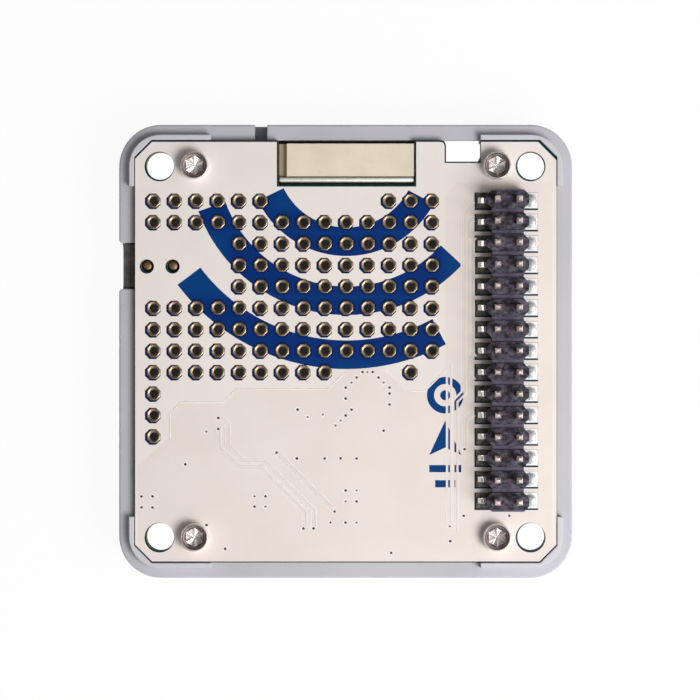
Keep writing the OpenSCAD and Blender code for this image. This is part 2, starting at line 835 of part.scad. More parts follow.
module regulator_body() {
    color(header_black) placed() translate([regulator_at[0], regulator_at[1], board_bottom - regulator_h])
        translate([-regulator_l / 2, -regulator_w / 2, 0]) cube([regulator_l, regulator_w, regulator_h]);
}

module regulator_lead(width, side) {
    mirror([0, side < 0 ? 1 : 0, 0])
        translate([-width / 2, regulator_w / 2, board_bottom - lead_t]) cube([width, lead_out, lead_t]);
}

module regulator_leads() {
    color(tin) placed() translate([regulator_at[0], regulator_at[1], 0]) {
        regulator_lead(tab_w, 1);
        for (i = [-1 : 1])
            translate([i * lead_pitch, 0, 0]) regulator_lead(lead_w, -1);
    }
}

// Body of a chip part between its two metal ends
module chip_body(length, width, height, cap) {
    translate([cap - length / 2, -width / 2, board_bottom - height]) cube([length - 2 * cap, width, height]);
}

module chip_terminals(length, width, height, cap) {
    for (side = [0, 1]) mirror([side, 0, 0])
        translate([length / 2 - cap, -width / 2, board_bottom - height]) cube([cap, width, height]);
}

module at_chips(places) {
    for (place = places)
        translate([place[0], place[1], 0]) rotate(place[2]) children();
}

module capacitor_bodies() {
    color("#b39a72") placed() at_chips(capacitor_at)
        chip_body(capacitor_l, capacitor_w, capacitor_h, capacitor_cap);
}

module capacitor_terminals() {
    color(tin) placed() at_chips(capacitor_at)
        chip_terminals(capacitor_l, capacitor_w, capacitor_h, capacitor_cap);
}

module resistor_bodies() {
    color(header_black) placed() at_chips(resistor_at)
        chip_body(resistor_l, resistor_w, resistor_h, resistor_cap);
}

module resistor_terminals() {
    color(tin) placed() at_chips(resistor_at)
        chip_terminals(resistor_l, resistor_w, resistor_h, resistor_cap);
}

// Round feature along the jack's bore, from one depth behind its face to another
module along_jack(from, to, d) {
    translate([jack_x + from, jack_y, jack_axis]) rotate([0, 90, 0]) cylinder(d = d, h = to - from);
}

module jack_housing() {
    color(header_black) placed() difference() {
        jack_block(jack_x, jack_l, 0, board_bottom);
        along_jack(-EPS, insulator_end, 2 * sleeve_r);
        along_jack(0, jack_l + EPS, contact_d);
        at_pegs() translate([0, 0, board_bottom - peg_root]) cylinder(d = peg_d, h = peg_root + EPS);
    }
}

module jack_sleeve() {
    color(brass) placed() difference() {
        along_jack(0, sleeve_l, 2 * sleeve_r);
        along_jack(-EPS, sleeve_l + EPS, jack_bore);
    }
}

module jack_insulator() {
    color(insulator_white) placed() difference() {
        along_jack(sleeve_l, insulator_end, 2 * sleeve_r);
        along_jack(0, jack_l, contact_d);
    }
}

// Centre contact with its tail, which bends up to the board behind the housing
module jack_contact() {
    tail_x = jack_x + jack_l;
    color(brass) placed() difference() {
        union() {
            along_jack(sleeve_l, jack_l, contact_d);
            span(
                [tail_x, jack_y - tail_w / 2, jack_axis - tail_w / 2],
                [tail_x + tail_t, jack_y + tail_w / 2, board_bottom]
            );
        }
        along_jack(0, insulator_end, contact_bore);
    }
}

module jack_pegs() {
    color(brass) placed() at_pegs() translate([0, 0, board_bottom - peg_root])
        cylinder(d = peg_d, h = board_t + peg_root - peg_drop);
}

frame();
main_board();
proto_pads();
board_screws();
header_body();
header_pins();
header_lands();
socket_body();
socket_contacts();
socket_lands();
antenna_ceramic();
antenna_patch();
antenna_ground_plate();
antenna_board();
antenna_feed_pin();
receiver_board();
receiver_can();
regulator_body();
regulator_leads();
capacitor_bodies();
capacitor_terminals();
resistor_bodies();
resistor_terminals();
jack_housing();
jack_sleeve();
jack_insulator();
jack_contact();
jack_pegs();
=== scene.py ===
import json
import math

import bpy
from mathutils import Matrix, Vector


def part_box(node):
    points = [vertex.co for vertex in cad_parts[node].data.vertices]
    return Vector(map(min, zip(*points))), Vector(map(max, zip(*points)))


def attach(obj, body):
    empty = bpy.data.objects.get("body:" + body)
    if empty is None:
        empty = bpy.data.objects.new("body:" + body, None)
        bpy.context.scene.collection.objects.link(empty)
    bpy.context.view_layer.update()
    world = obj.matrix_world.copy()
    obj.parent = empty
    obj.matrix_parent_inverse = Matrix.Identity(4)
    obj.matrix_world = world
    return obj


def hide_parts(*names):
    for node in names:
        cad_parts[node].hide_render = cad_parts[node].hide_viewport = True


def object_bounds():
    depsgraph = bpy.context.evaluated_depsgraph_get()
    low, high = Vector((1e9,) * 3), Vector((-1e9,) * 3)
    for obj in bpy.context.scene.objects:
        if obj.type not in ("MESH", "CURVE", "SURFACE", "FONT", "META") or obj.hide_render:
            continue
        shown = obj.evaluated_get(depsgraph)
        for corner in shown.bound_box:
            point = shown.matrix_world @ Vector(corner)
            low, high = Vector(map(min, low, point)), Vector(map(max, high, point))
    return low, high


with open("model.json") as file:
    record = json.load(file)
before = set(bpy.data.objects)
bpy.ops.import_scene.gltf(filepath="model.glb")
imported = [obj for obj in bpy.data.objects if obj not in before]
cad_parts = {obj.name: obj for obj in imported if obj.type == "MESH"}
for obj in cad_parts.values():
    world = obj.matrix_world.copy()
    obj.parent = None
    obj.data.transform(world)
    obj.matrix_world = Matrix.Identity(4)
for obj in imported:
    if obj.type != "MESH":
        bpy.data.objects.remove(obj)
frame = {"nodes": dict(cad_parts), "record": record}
cad_low, cad_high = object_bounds()

MM = 0.001
MERGE_WITHIN = 0.0005 * MM

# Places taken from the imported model
board_low, board_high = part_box("main_board")
pads_low, pads_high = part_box("proto_pads")
lands_low, lands_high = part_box("header_lands")
screws_low, screws_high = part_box("board_screws")
pegs_low, pegs_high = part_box("jack_pegs")
ground_low, ground_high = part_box("antenna_ground_plate")
ceramic_low, ceramic_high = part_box("antenna_ceramic")
BOARD_X = (board_low.x + board_high.x) / 2
BOARD_Y = (board_low.y + board_high.y) / 2
BOARD_HALF = (board_high.x - board_low.x) / 2
BOARD_TOP = board_high.z
BOARD_BOTTOM = board_low.z
BUS_X = (lands_low.x + lands_high.x) / 2

# Sizes of the frame, the board and its fixings
FRAME_CORNER = 5 * MM
BOARD_CORNER = 2 * MM
PITCH = 2.54 * MM
BUS_ROWS = 15
HOLE_AT = 22 * MM
HOLE_R = 1.65 * MM
SCREW_NODE_R = 1.6 * MM
SCREW_HEAD_H = screws_high.z - BOARD_TOP
SCREW_LEN = BOARD_TOP - screws_low.z
SCREW_X = screws_high.x - SCREW_NODE_R - BOARD_X
SCREW_Y = screws_high.y - SCREW_NODE_R - BOARD_Y
PEG_R = 0.6 * MM
PEGS_X = (pegs_low.x + PEG_R, pegs_high.x - PEG_R)
PEGS_Y = (pegs_low.y + pegs_high.y) / 2
PEG_HOLE_R = 0.75 * MM
BAY_GAP = 0.1 * MM
BAY_FRONT_GAP = 0.4 * MM
BAY_EDGE = ground_low.y - BAY_FRONT_GAP
RELIEF_X0 = BOARD_X + 11.9 * MM
RELIEF_X1 = BOARD_X + 16 * MM
RELIEF_D = 2.5 * MM
RELIEF_ROUND = 0.5 * MM

# Plated hole field, as (row, first column, last column) from its back left hole
PAD_RUNS = [
    (0, 0, 5), (0, 11, 13), (1, 0, 13), (2, 4, 13), (3, 4, 13), (4, 4, 13), (5, 0, 13),
    (6, 0, 13), (7, 0, 13), (8, 0, 8), (8, 12, 12), (9, 0, 0), (10, 0, 0), (11, 0, 0),
]
LAST_COLUMN = max(last for row, first, last in PAD_RUNS)
PAD_AF = pads_high.x - pads_low.x - LAST_COLUMN * PITCH
FIELD_X = pads_low.x + PAD_AF / 2
FIELD_Y = pads_high.y - PAD_AF / 2

# White print on the board: its thickness, its margins at the board's edges, and its openings, which
# are a little wider than what they clear and have slipped towards the front left
INK_T = 0.03 * MM
POUR_T = 0.012 * MM
INK_TOP = BOARD_TOP + INK_T
INK_SIDE = 0.04 * MM
INK_RIGHT = 0.005 * MM
INK_BACK = 0.17 * MM
INK_FRONT = 0.09 * MM
INK_BAY = 0.17 * MM
INK_CORNER_EXTRA = 0.18 * MM
INK_SLIP = 0.09 * MM
INK_ROUND_PAD = 0.13 * MM
INK_ROUND_LAND = 0.12 * MM
INK_ROUND_PEG = 0.1 * MM
INK_ROUND_CORNER = 0.12 * MM
CORNER_SLIP = 0.08 * MM
INK_SINK = 0.005 * MM
POUR_SINK = 0.01 * MM
CUT_BELOW = 0.1 * MM
CUT_ABOVE = 0.2 * MM

# Lands and feet of the bus header, measured across from its middle line
LAND_REACH = lands_high.x - BUS_X
LAND_LEN = 1.9 * MM
LAND_W = 1.85 * MM

# Broad arcs printed round the antenna, as (middle radius, start and end angle in degrees)
ARC_STROKE = 3.4 * MM
ARC_MIDDLE = (BOARD_X + 0.1 * MM, BOARD_Y + 23 * MM)
ARCS = [(10, 206, 332), (17, 200, 317), (23.4, 217, 298)]

# Small symbols printed beside the header: ring and dot, arrowhead and two bars. The arrowhead is given
# from its tip, and each bar as (height on the board, half length), in millimetres
SYMBOL_X = BOARD_X + 11.8 * MM
SYMBOL_STROKE = 0.85 * MM
RING_Y = BOARD_Y - 5.2 * MM
RING_R = 1.75
RING_TURN = 359.9
DOT_R = 0.6 * MM
ARROW_TIP_Y = BOARD_Y - 8.2 * MM
ARROW = [(0, 0), (1.9, -4.1), (0, -3.2), (-1.9, -4.1)]
BARS = [(-13.9, 1.9), (-15.7, 1.2)]

# Camera straight over the board, as in the photograph
CAMERA_OVER = (BOARD_X + 0.51 * MM, BOARD_Y + 0.16 * MM)
CAMERA_HEIGHT = 310 * MM
VIEW_WIDTH = 83 * MM
SENSOR = 36


def board_point(x, y):
    """A point on the board, from millimetres right of and behind its centre."""
    return BOARD_X + x * MM, BOARD_Y + y * MM


def pad_places():
    return [
        (FIELD_X + column * PITCH, FIELD_Y - row * PITCH)
        for row, first, last in PAD_RUNS
        for column in range(first, last + 1)
    ]


def bus_places():
    """Each pin's row, and its side of the header as -1 or 1."""
    first = lands_low.y + LAND_W / 2
    return [(first + row * PITCH, side) for row in range(BUS_ROWS) for side in (-1, 1)]


def corner_places(x, y):
    return [(BOARD_X + sx * x, BOARD_Y + sy * y) for sx in (-1, 1) for sy in (-1, 1)]


def srgb(red, green, blue):
    """A colour read off a screen, as the linear values that a shader takes."""
    def linear(value):
        value /= 255
        return value / 12.92 if value <= 0.04045 else ((value + 0.055) / 1.055) ** 2.4
    return linear(red), linear(green), linear(blue), 1


# Modelling helpers


def alone(obj):
    bpy.ops.object.select_all(action="DESELECT")
    obj.select_set(True)
    bpy.context.view_layer.objects.active = obj


def edit_all():
    """Edit mode by vertices, with the whole piece selected."""
    bpy.ops.object.mode_set(mode="EDIT")
    bpy.ops.mesh.select_mode(type="VERT")
    bpy.ops.mesh.select_all(action="SELECT")


def edit_points(obj, chosen):
    """Edit mode with only the chosen vertices selected."""
    edit_all()
    bpy.ops.mesh.select_all(action="DESELECT")
    bpy.ops.object.mode_set(mode="OBJECT")
    for vertex in obj.data.vertices:
        vertex.select = chosen(vertex.co)
    bpy.ops.object.mode_set(mode="EDIT")


def edit_faces(obj, chosen):
    """Edit mode with only the chosen faces selected."""
    edit_all()
    bpy.ops.mesh.select_mode(type="FACE")
    bpy.ops.mesh.select_all(action="DESELECT")
    bpy.ops.object.mode_set(mode="OBJECT")
    for face in obj.data.polygons:
        face.select = chosen(face)
    bpy.ops.object.mode_set(mode="EDIT")


def leave_edit():
    bpy.ops.object.mode_set(mode="OBJECT")


def settle():
    """Merges doubles and turns every face of the piece in hand outwards."""
    edit_all()
    bpy.ops.mesh.remove_doubles(threshold=MERGE_WITHIN)
    bpy.ops.mesh.normals_make_consistent(inside=False)
    leave_edit()


def put_in_mesh(obj):
    alone(obj)
    bpy.ops.object.transform_apply(location=True, rotation=True, scale=True)
    return obj


def block(low, high):
    bpy.ops.object.select_all(action="DESELECT")
    middle = [(a + b) / 2 for a, b in zip(low, high)]
    size = [b - a for a, b in zip(low, high)]
    bpy.ops.mesh.primitive_cube_add(size=1, location=middle, scale=size)
    return put_in_mesh(bpy.context.object)


def prism(sides, radius, place, low, high, turn=0):
    bpy.ops.object.select_all(action="DESELECT")
    bpy.ops.mesh.primitive_cylinder_add(
        vertices=sides, radius=radius, depth=high - low,
        location=(place[0], place[1], (low + high) / 2), rotation=(0, 0, turn),
    )
    return put_in_mesh(bpy.context.object)


def draw(points):
    """A line of edges through the points, left in edit mode."""
    bpy.ops.object.select_all(action="DESELECT")
    bpy.ops.mesh.primitive_plane_add(size=MM, location=points[0])
    obj = put_in_mesh(bpy.context.object)
    edit_all()
    bpy.ops.mesh.merge(type="CENTER")
    for here, there in zip(points, points[1:]):
        step = [b - a for a, b in zip(here, there)]
        bpy.ops.mesh.extrude_region_move(TRANSFORM_OT_translate={"value": step})
    return obj


def slab(outline, low, high):
    """A flat plate with the given outline."""
    obj = draw([(x, y, low) for x, y in outline])
    bpy.ops.mesh.select_all(action="SELECT")
    bpy.ops.mesh.edge_face_add()
    bpy.ops.mesh.extrude_region_move(TRANSFORM_OT_translate={"value": (0, 0, high - low)})
    leave_edit()
    settle()
    return obj


def turn_through(profile):
    """Extrudes the selected loop through the points (radius, height) of a turned section."""
    for (radius, height), (next_radius, next_height) in zip(profile, profile[1:]):
        rise = (next_height - height) * MM
        share = next_radius / radius
        bpy.ops.mesh.extrude_region_move(TRANSFORM_OT_translate={"value": (0, 0, rise)})
        bpy.ops.transform.resize(value=(share, share, 1), center_override=(0, 0, next_height * MM))


def turned_ring(profile, sides):
    """A ring about the Z axis, with the closed section given in millimetres."""
    bpy.ops.object.select_all(action="DESELECT")
    radius, height = profile[0]
    bpy.ops.mesh.primitive_circle_add(vertices=sides, radius=radius * MM, location=(0, 0, height * MM))
    obj = put_in_mesh(bpy.context.object)
    edit_all()
    turn_through(profile + profile[:1])
    leave_edit()
    settle()
    return obj


def turned_solid(profile, sides):
    """A solid about the Z axis, with its outline given in millimetres from the bottom up."""
    bpy.ops.object.select_all(action="DESELECT")
    radius, height = profile[0]
    bpy.ops.mesh.primitive_circle_add(
        vertices=sides, radius=radius * MM, fill_type="NGON", location=(0, 0, height * MM)
    )
    obj = put_in_mesh(bpy.context.object)
    edit_all()
    turn_through(profile)
    leave_edit()
    settle()
    return obj


def joined(pieces):
    bpy.ops.object.select_all(action="DESELECT")
    for piece in pieces:
        piece.select_set(True)
    bpy.context.view_layer.objects.active = pieces[0]
    if len(pieces) > 1:
        bpy.ops.object.join()
    return put_in_mesh(bpy.context.object)


def copied(pattern, places, turn=0):
    """Copies of a piece at the places (x, y, z), each with its own mesh, joined into one object."""
    made = []
    for place in places:
        copy = pattern.copy()
        copy.data = pattern.data.copy()
        copy.location = place
        copy.rotation_euler = (0, 0, turn)
        bpy.context.scene.collection.objects.link(copy)
        made.append(copy)
    bpy.data.objects.remove(pattern)
    bpy.context.view_layer.update()
    return joined(made)


def apply_modifier(obj, kind, **settings):
    alone(obj)
    modifier = obj.modifiers.new(kind.lower(), kind)
    for key, value in settings.items():
        setattr(modifier, key, value)
    bpy.ops.object.modifier_apply(modifier=modifier.name)


def bevel(obj, width, segments, degrees):
    """Bevels the edges of a piece that are sharper than the angle, with its width in millimetres."""
    apply_modifier(
        obj, "BEVEL", width=width * MM, segments=segments,
        limit_method="ANGLE", angle_limit=math.radians(degrees),
    )


def on_flat(point, sides, beyond):
    """True in the middle of each flat of a prism, outside a radius in millimetres."""
    part = math.degrees(math.atan2(point.y, point.x)) * sides / 360
    return math.hypot(point.x, point.y) > beyond * MM and abs(part - round(part)) < 0.1


def flatten(obj, sides, beyond):
    """Pulls every second corner of a round piece in, so that its outside gets that many flats."""
    share = math.cos(math.pi / sides)
    edit_points(obj, lambda point: on_flat(point, sides, beyond))
    bpy.ops.transform.resize(value=(share, share, 1), center_override=(0, 0, 0))
    leave_edit()


def cut(obj, cutter, keep=False):
    apply_modifier(obj, "BOOLEAN", operation="DIFFERENCE", solver="EXACT", object=cutter)
    if not keep:
        bpy.data.objects.remove(cutter)


def smooth(obj, degrees):
    alone(obj)
    bpy.ops.object.shade_smooth_by_angle(angle=math.radians(degrees))


def hand_in(obj, name, finish, node=None):
    """Names a finished piece, gives it its finish and fixes it to the module."""
    obj.name = name
    obj.data.name = name
    obj.data.materials.clear()
    obj.data.materials.append(finish)
    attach(obj, "root")
    if node:
        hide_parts(node)


# Shader helpers


class Socket:
    """An output of a shader node that takes part in Python sums."""

    def __init__(self, finish, output):
        self.finish = finish
        self.output = output

    def maths(self, operation, first, second=0.0):
        return self.finish.node("Math", {"operation": operation}, {0: first, 1: second})

    def __add__(self, other):
        return self.maths("ADD", self, other)

    __radd__ = __add__

    def __sub__(self, other):
        return self.maths("SUBTRACT", self, other)

    def __rsub__(self, other):
        return self.maths("SUBTRACT", other, self)

    def __mul__(self, other):
        return self.maths("MULTIPLY", self, other)

    __rmul__ = __mul__

    def __truediv__(self, other):
        return self.maths("DIVIDE", self, other)

    def __abs__(self):
        return self.maths("ABSOLUTE", self)

    def __lt__(self, other):
        return self.maths("LESS_THAN", self, other)

    def __gt__(self, other):
        return self.maths("GREATER_THAN", self, other)

    def __or__(self, other):
        return self.maths("MAXIMUM", self, other)

    def __and__(self, other):
        return self.maths("MINIMUM", self, other)


class Finish:
    """One material and the nodes that make it."""

    def __init__(self, name):
        self.material = bpy.data.materials.new(name)
        self.material.use_nodes = True
        self.tree = self.material.node_tree
        self.tree.nodes.clear()
        self.point = self.node("TexCoord", {}, {}, "Object")

    def node(self, kind, settings, sockets, output=0):
        made = self.tree.nodes.new("ShaderNode" + kind)
        for key, value in settings.items():
            setattr(made, key, value)
        for key, value in sockets.items():
            self.feed(made.inputs[key], value)
        return Socket(self, made.outputs[output])

    def feed(self, entry, value):
        if isinstance(value, Socket):
            self.tree.links.new(value.output, entry)
        else:
            entry.default_value = value

    def place(self):
        """Object coordinates in millimetres."""
        millimetres = self.node("VectorMath", {"operation": "SCALE"}, {0: self.point, "Scale": 1 / MM})
        return [self.node("SeparateXYZ", {}, {0: millimetres}, axis) for axis in range(3)]

    def noise(self, per_mm, detail=2.0, rough=0.5, stretch=(1, 1, 1)):
        """Noise from 0 to 1 with that many cells to a millimetre."""
        vector = self.node("Mapping", {}, {"Vector": self.point, "Scale": stretch})
        sockets = {"Vector": vector, "Scale": per_mm / MM, "Detail": detail, "Roughness": rough}
        return self.node("TexNoise", {}, sockets)

    def span(self, value, low, high):
        """Follows a value from 0 at low to 1 at high, and stops there."""
        return self.node("MapRange", {"clamp": True}, {0: value, 1: low, 2: high, 3: 0.0, 4: 1.0})

    def blend(self, share, first, second):
        return self.node("Mix", {"data_type": "RGBA"}, {0: share, 6: first, 7: second}, 2)

    def bump(self, height, depth, strength=1.0, normal=None):
        sockets = {"Height": height, "Distance": depth, "Strength": strength}
        if normal:
            sockets["Normal"] = normal
        return self.node("Bump", {}, sockets)

    def soft_edge(self, radius):
        """Normals that round off sharp edges over a small radius."""
        return self.node("Bevel", {"samples": 4}, {"Radius": radius})

    def shade(self, **sockets):
        named = {key.replace("_", " "): value for key, value in sockets.items()}
        surface = self.node("BsdfPrincipled", {}, named)
        self.node_out(surface)
        return self.material

    def node_out(self, surface):
        made = self.tree.nodes.new("ShaderNodeOutputMaterial")
        self.tree.links.new(surface.output, made.inputs["Surface"])


def box_depth(place, boxes):
    """Distance from the nearest of the boxes (low x, low y, high x, high y), below 0 inside it."""
    nearest = None
    for x0, y0, x1, y1 in boxes:
        across = abs(place[0] - (x0 + x1) / 2) - (x1 - x0) / 2
        along = abs(place[1] - (y0 + y1) / 2) - (y1 - y0) / 2
        depth = across | along
        nearest = depth if nearest is None else nearest & depth
    return nearest


def grid_distance(value, start):
    """Distance from the nearest line of the 2.54 mm grid that has a line at start."""
    return value.maths("PINGPONG", value - start / MM, PITCH / MM / 2)


# Finishes

# Where the finishes change, in millimetres
# the lips' tops fade into a painted highlight over this span
LIP_HIGHLIGHT_FADE = (0.25, 0.1)  # below the lips' tops
BARE_RIM = 0.45  # along the board's edges and round its holes
FIELD_MARGIN = 1.3  # round the outer plated holes
PAD_HALO = 0.2  # dark mask round the pads
BUS_MARGIN = 0.3  # beside the bus lands
MASK_REACH = 0.06  # down the board's edge
SHADE_RING_OUTER = (1.5, 1.44)  # radii of the ring of painted shade on the screws
SHADE_RING_INNER = (0.86, 0.96)
SHADE_RING_MIDDLE = 1.24  # radius where the painted shade is faintest
SHADE_RING_DEPTH = (0.5, 0.36)  # below the screws' tops
LAND_SPLIT = 0.2  # either side of the header's middle line
GROOVE_HIGHLIGHT_FROM = (1.02, 1.1)  # from the nearest row of pins
CERAMIC_STEP = 0.9  # from the ceramic's left end
# fade of the painted shade on the ceramic's left step
STEP_SHADE_FADE = (0.12, -0.25)
CERAMIC_HIGHLIGHT_END = (0.2, 0.1)  # from its right end
CERAMIC_FRONT_SHADE = (0.16, 0.1)  # from its front


def frame_plastic():
    f = Finish("frame_plastic")
    cloud = f.noise(0.12, 3)
    grain = f.noise(7, 2)
    colour = f.blend(f.span(cloud, 0.3, 0.7), srgb(183, 182, 188), srgb(191, 189, 195))
    lip_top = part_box("frame")[1].z / MM
    # painted highlight: the lips' tops are painted lighter than the walls, as if lit more
    painted_lip_highlight = f.span(f.place()[2], lip_top - LIP_HIGHLIGHT_FADE[0], lip_top - LIP_HIGHLIGHT_FADE[1])
    colour = f.blend(painted_lip_highlight, colour, srgb(201, 199, 204))
    normal = f.bump(grain, 0.012 * MM, 0.6, f.soft_edge(0.2 * MM))
    return f.shade(Base_Color=colour, Roughness=0.42 + 0.12 * grain, Normal=normal)


# Rows and columns of the boxes round the field, as (first row, last row, first column, last column)
FIELD_BOXES = [
    (0, 1, 0, 5), (0, 1, 11, 13), (1, 1, 0, 13), (2, 4, 4, 13),
    (5, 7, 0, 13), (8, 8, 0, 8), (8, 8, 12, 12), (9, 11, 0, 0),
]


def field_boxes():
    """Boxes round the rows of plated holes, in millimetres."""
    boxes = []
    for top, bottom, first, last in FIELD_BOXES:
        x0 = (FIELD_X + first * PITCH) / MM - FIELD_MARGIN
        x1 = (FIELD_X + last * PITCH) / MM + FIELD_MARGIN
        y0 = (FIELD_Y - bottom * PITCH) / MM - FIELD_MARGIN
        y1 = (FIELD_Y - top * PITCH) / MM + FIELD_MARGIN
        boxes.append((x0, y0, x1, y1))
    return boxes


def bare_rim(place):
    """1 where no copper lies under the mask: along the board's edges and round its holes."""
    half = BOARD_HALF / MM
    across = abs(place[0] - BOARD_X / MM)
    along = abs(place[1] - BOARD_Y / MM)
    outer = (across | along) > half - BARE_RIM
    cut_off = (across + along) > 2 * half - BOARD_CORNER / MM - BARE_RIM * math.sqrt(2)
    hole_x = across - HOLE_AT / MM
    hole_y = along - HOLE_AT / MM
    holes = (hole_x * hole_x + hole_y * hole_y) < (HOLE_R / MM + BARE_RIM) ** 2
    bay_x0, bay_x1 = ceramic_low.x / MM - BARE_RIM, ceramic_high.x / MM + BARE_RIM
    relief_x0, relief_x1 = RELIEF_X0 / MM - BARE_RIM, RELIEF_X1 / MM + BARE_RIM
    bay = (bay_x0, BAY_EDGE / MM - BARE_RIM, bay_x1, half)
    relief = (relief_x0, half - RELIEF_D / MM - BARE_RIM, relief_x1, half)
    share = outer | cut_off | holes | (box_depth(place, [bay, relief]) < 0.0)
    for x in PEGS_X:
        peg_x = place[0] - x / MM
        peg_y = place[1] - PEGS_Y / MM
        share = share | ((peg_x * peg_x + peg_y * peg_y) < (PEG_HOLE_R / MM + BARE_RIM) ** 2)
    return share


def round_pads(place):
    """1 on the octagon pads of the plated holes and just round them."""
    across = grid_distance(place[0], FIELD_X)
    along = grid_distance(place[1], FIELD_Y)
    octagon = across | along | (across + along) / math.sqrt(2)
    return octagon < PAD_AF / 2 / MM + PAD_HALO


def board_mask():
    f = Finish("board_mask")
    place = f.place()
    cloud = f.noise(0.25, 3)
    weave = f.noise(3, 2, 0.5, (1, 1, 6))
    field = box_depth(place, field_boxes())
    mask = f.blend(cloud, srgb(0, 56, 116), srgb(0, 64, 124))
    mask = f.blend(f.span(field, 0.9, -0.7), mask, srgb(0, 44, 112))
    mask = f.blend(round_pads(place) & (field < 0.0), mask, srgb(0, 30, 74))
    beside_bus = abs(place[0] - BUS_X / MM) < LAND_REACH / MM + BUS_MARGIN
    mask = f.blend(bare_rim(place) | beside_bus, mask, srgb(0, 54, 70))
    core = f.blend(weave, srgb(120, 116, 70), srgb(152, 146, 98))
    middle = (BOARD_TOP + BOARD_BOTTOM) / 2 / MM
    half = (BOARD_TOP - BOARD_BOTTOM) / 2 / MM
    on_edge = abs(place[2] - middle) < half - MASK_REACH
    colour = f.blend(on_edge, mask, core)
    normal = f.bump(f.noise(2, 3), 0.004 * MM, 0.5)
    rough = 0.34 + 0.36 * on_edge
    return f.shade(Base_Color=colour, Roughness=rough, Specular_IOR_Level=0.15, Normal=normal)


def print_ink(name, low, high):
    f = Finish(name)
    cloud = f.noise(0.15, 4)
    grain = f.noise(9, 3)
    colour = f.blend(f.span(cloud, 0.3, 0.7), low, high)
    normal = f.bump(grain + 1.5 * f.noise(1.1, 2), 0.004 * MM, 0.5)
    return f.shade(Base_Color=colour, Roughness=0.5 + 0.15 * grain, Normal=normal)


def worn_metal(name, dark, light, rough, cells=2.5, depth=0.003, metal=1.0):
    f = Finish(name)
    patch = f.noise(cells, 4)
    colour = f.blend(f.span(patch, 0.25, 0.75), dark, light)
    normal = f.bump(f.noise(cells * 4, 2), depth * MM, 0.5, f.soft_edge(0.03 * MM))
    return f.shade(Base_Color=colour, Metallic=metal, Roughness=rough + 0.15 * patch, Normal=normal)


def screw_steel():
    """Bright turned steel, with painted shade in brown on the bevel round the socket."""
    f = Finish("screw_steel")
    place = f.place()
    across = abs(place[0] - BOARD_X / MM) - SCREW_X / MM
    along = abs(place[1] - BOARD_Y / MM) - SCREW_Y / MM
    radius = f.node("Math", {"operation": "SQRT"}, {0: across * across + along * along})
    top = screws_high.z / MM
    # painted shade: the bevel round the socket is painted dark brown, standing in for the shade in that
    # recess
    ring = f.span(radius, *SHADE_RING_OUTER) & f.span(radius, *SHADE_RING_INNER)
    shade_ring_edges = f.span(abs(radius - SHADE_RING_MIDDLE), 0.06, 0.16)
    near_top = f.span(place[2], top - SHADE_RING_DEPTH[0], top - SHADE_RING_DEPTH[1])
    painted_shade = (0.62 + 0.38 * shade_ring_edges) * (ring & near_top)
    patch = f.noise(1.5, 4)
    steel = f.blend(f.span(patch, 0.25, 0.75), srgb(232, 224, 221), srgb(254, 250, 248))
    colour = f.blend(painted_shade, steel, srgb(108, 80, 73))
    normal = f.bump(f.noise(6, 2), 0.004 * MM, 0.5, f.soft_edge(0.03 * MM))
    return f.shade(Base_Color=colour, Metallic=0.76, Roughness=0.16 + 0.12 * patch, Normal=normal)


def land_tin_painted_light():
    """Solder of the header's lands: painted shade makes its left side dark, painted light makes the
    right side bright, and the right is frosted.
    """
    f = Finish("land_tin_painted_light")
    place = f.place()
    patch = f.noise(2, 4)
    spots = f.span(patch, 0.25, 0.75)
    # painted light: left lands painted dark as if in the header's shade, right ones bright as if lit by
    # the lamp
    right = f.span(place[0], BUS_X / MM - LAND_SPLIT, BUS_X / MM + LAND_SPLIT)
    shaded_tin = f.blend(spots, srgb(52, 48, 42), srgb(126, 122, 113))
    bright = f.blend(spots, srgb(222, 224, 222), srgb(246, 247, 246))
    normal = f.bump(f.noise(8, 2), 0.008 * MM, 0.5, f.soft_edge(0.03 * MM))
    return f.shade(
        Base_Color=f.blend(right, shaded_tin, bright), Metallic=1.0 - 0.75 * right,
        Roughness=0.3 + 0.15 * patch + 0.1 * right, Normal=normal,
    )


def header_plastic():
    f = Finish("header_plastic")
    patch = f.noise(1.6, 4, 0.6)
    grain = f.noise(8, 3)
    colour = f.blend(f.span(patch, 0.3, 0.7), srgb(34, 32, 36), srgb(80, 77, 82))
    normal = f.bump(grain + patch, 0.012 * MM, 0.7, f.soft_edge(0.06 * MM))
    return f.shade(Base_Color=colour, Roughness=0.45 + 0.2 * grain, Normal=normal)


def bus_plastic():
    """The header's black moulding: mottled, and paler in the grooves between its segments, a painted
    highlight on their floors.
    """
    f = Finish("bus_plastic")
    place = f.place()
    patch = f.noise(2.2, 4, 0.65, (0.7, 1, 1))
    grain = f.noise(9, 3)
    from_pin = grid_distance(place[1], lands_low.y + LAND_W / 2)
    # painted highlight: the grooves between the segments are painted paler, as if their floors caught
    # the light
    groove_highlight = f.span(from_pin, *GROOVE_HIGHLIGHT_FROM)
    mottle = f.blend(f.span(patch, 0.38, 0.68), srgb(20, 17, 25), srgb(96, 90, 104))
    colour = f.blend(0.6 * groove_highlight, mottle, srgb(104, 100, 118))
    normal = f.bump(grain + 2 * patch, 0.02 * MM, 0.8, f.soft_edge(0.08 * MM))
    rough = 0.4 + 0.2 * grain
    return f.shade(Base_Color=colour, Roughness=rough, Specular_IOR_Level=0.2, Normal=normal)


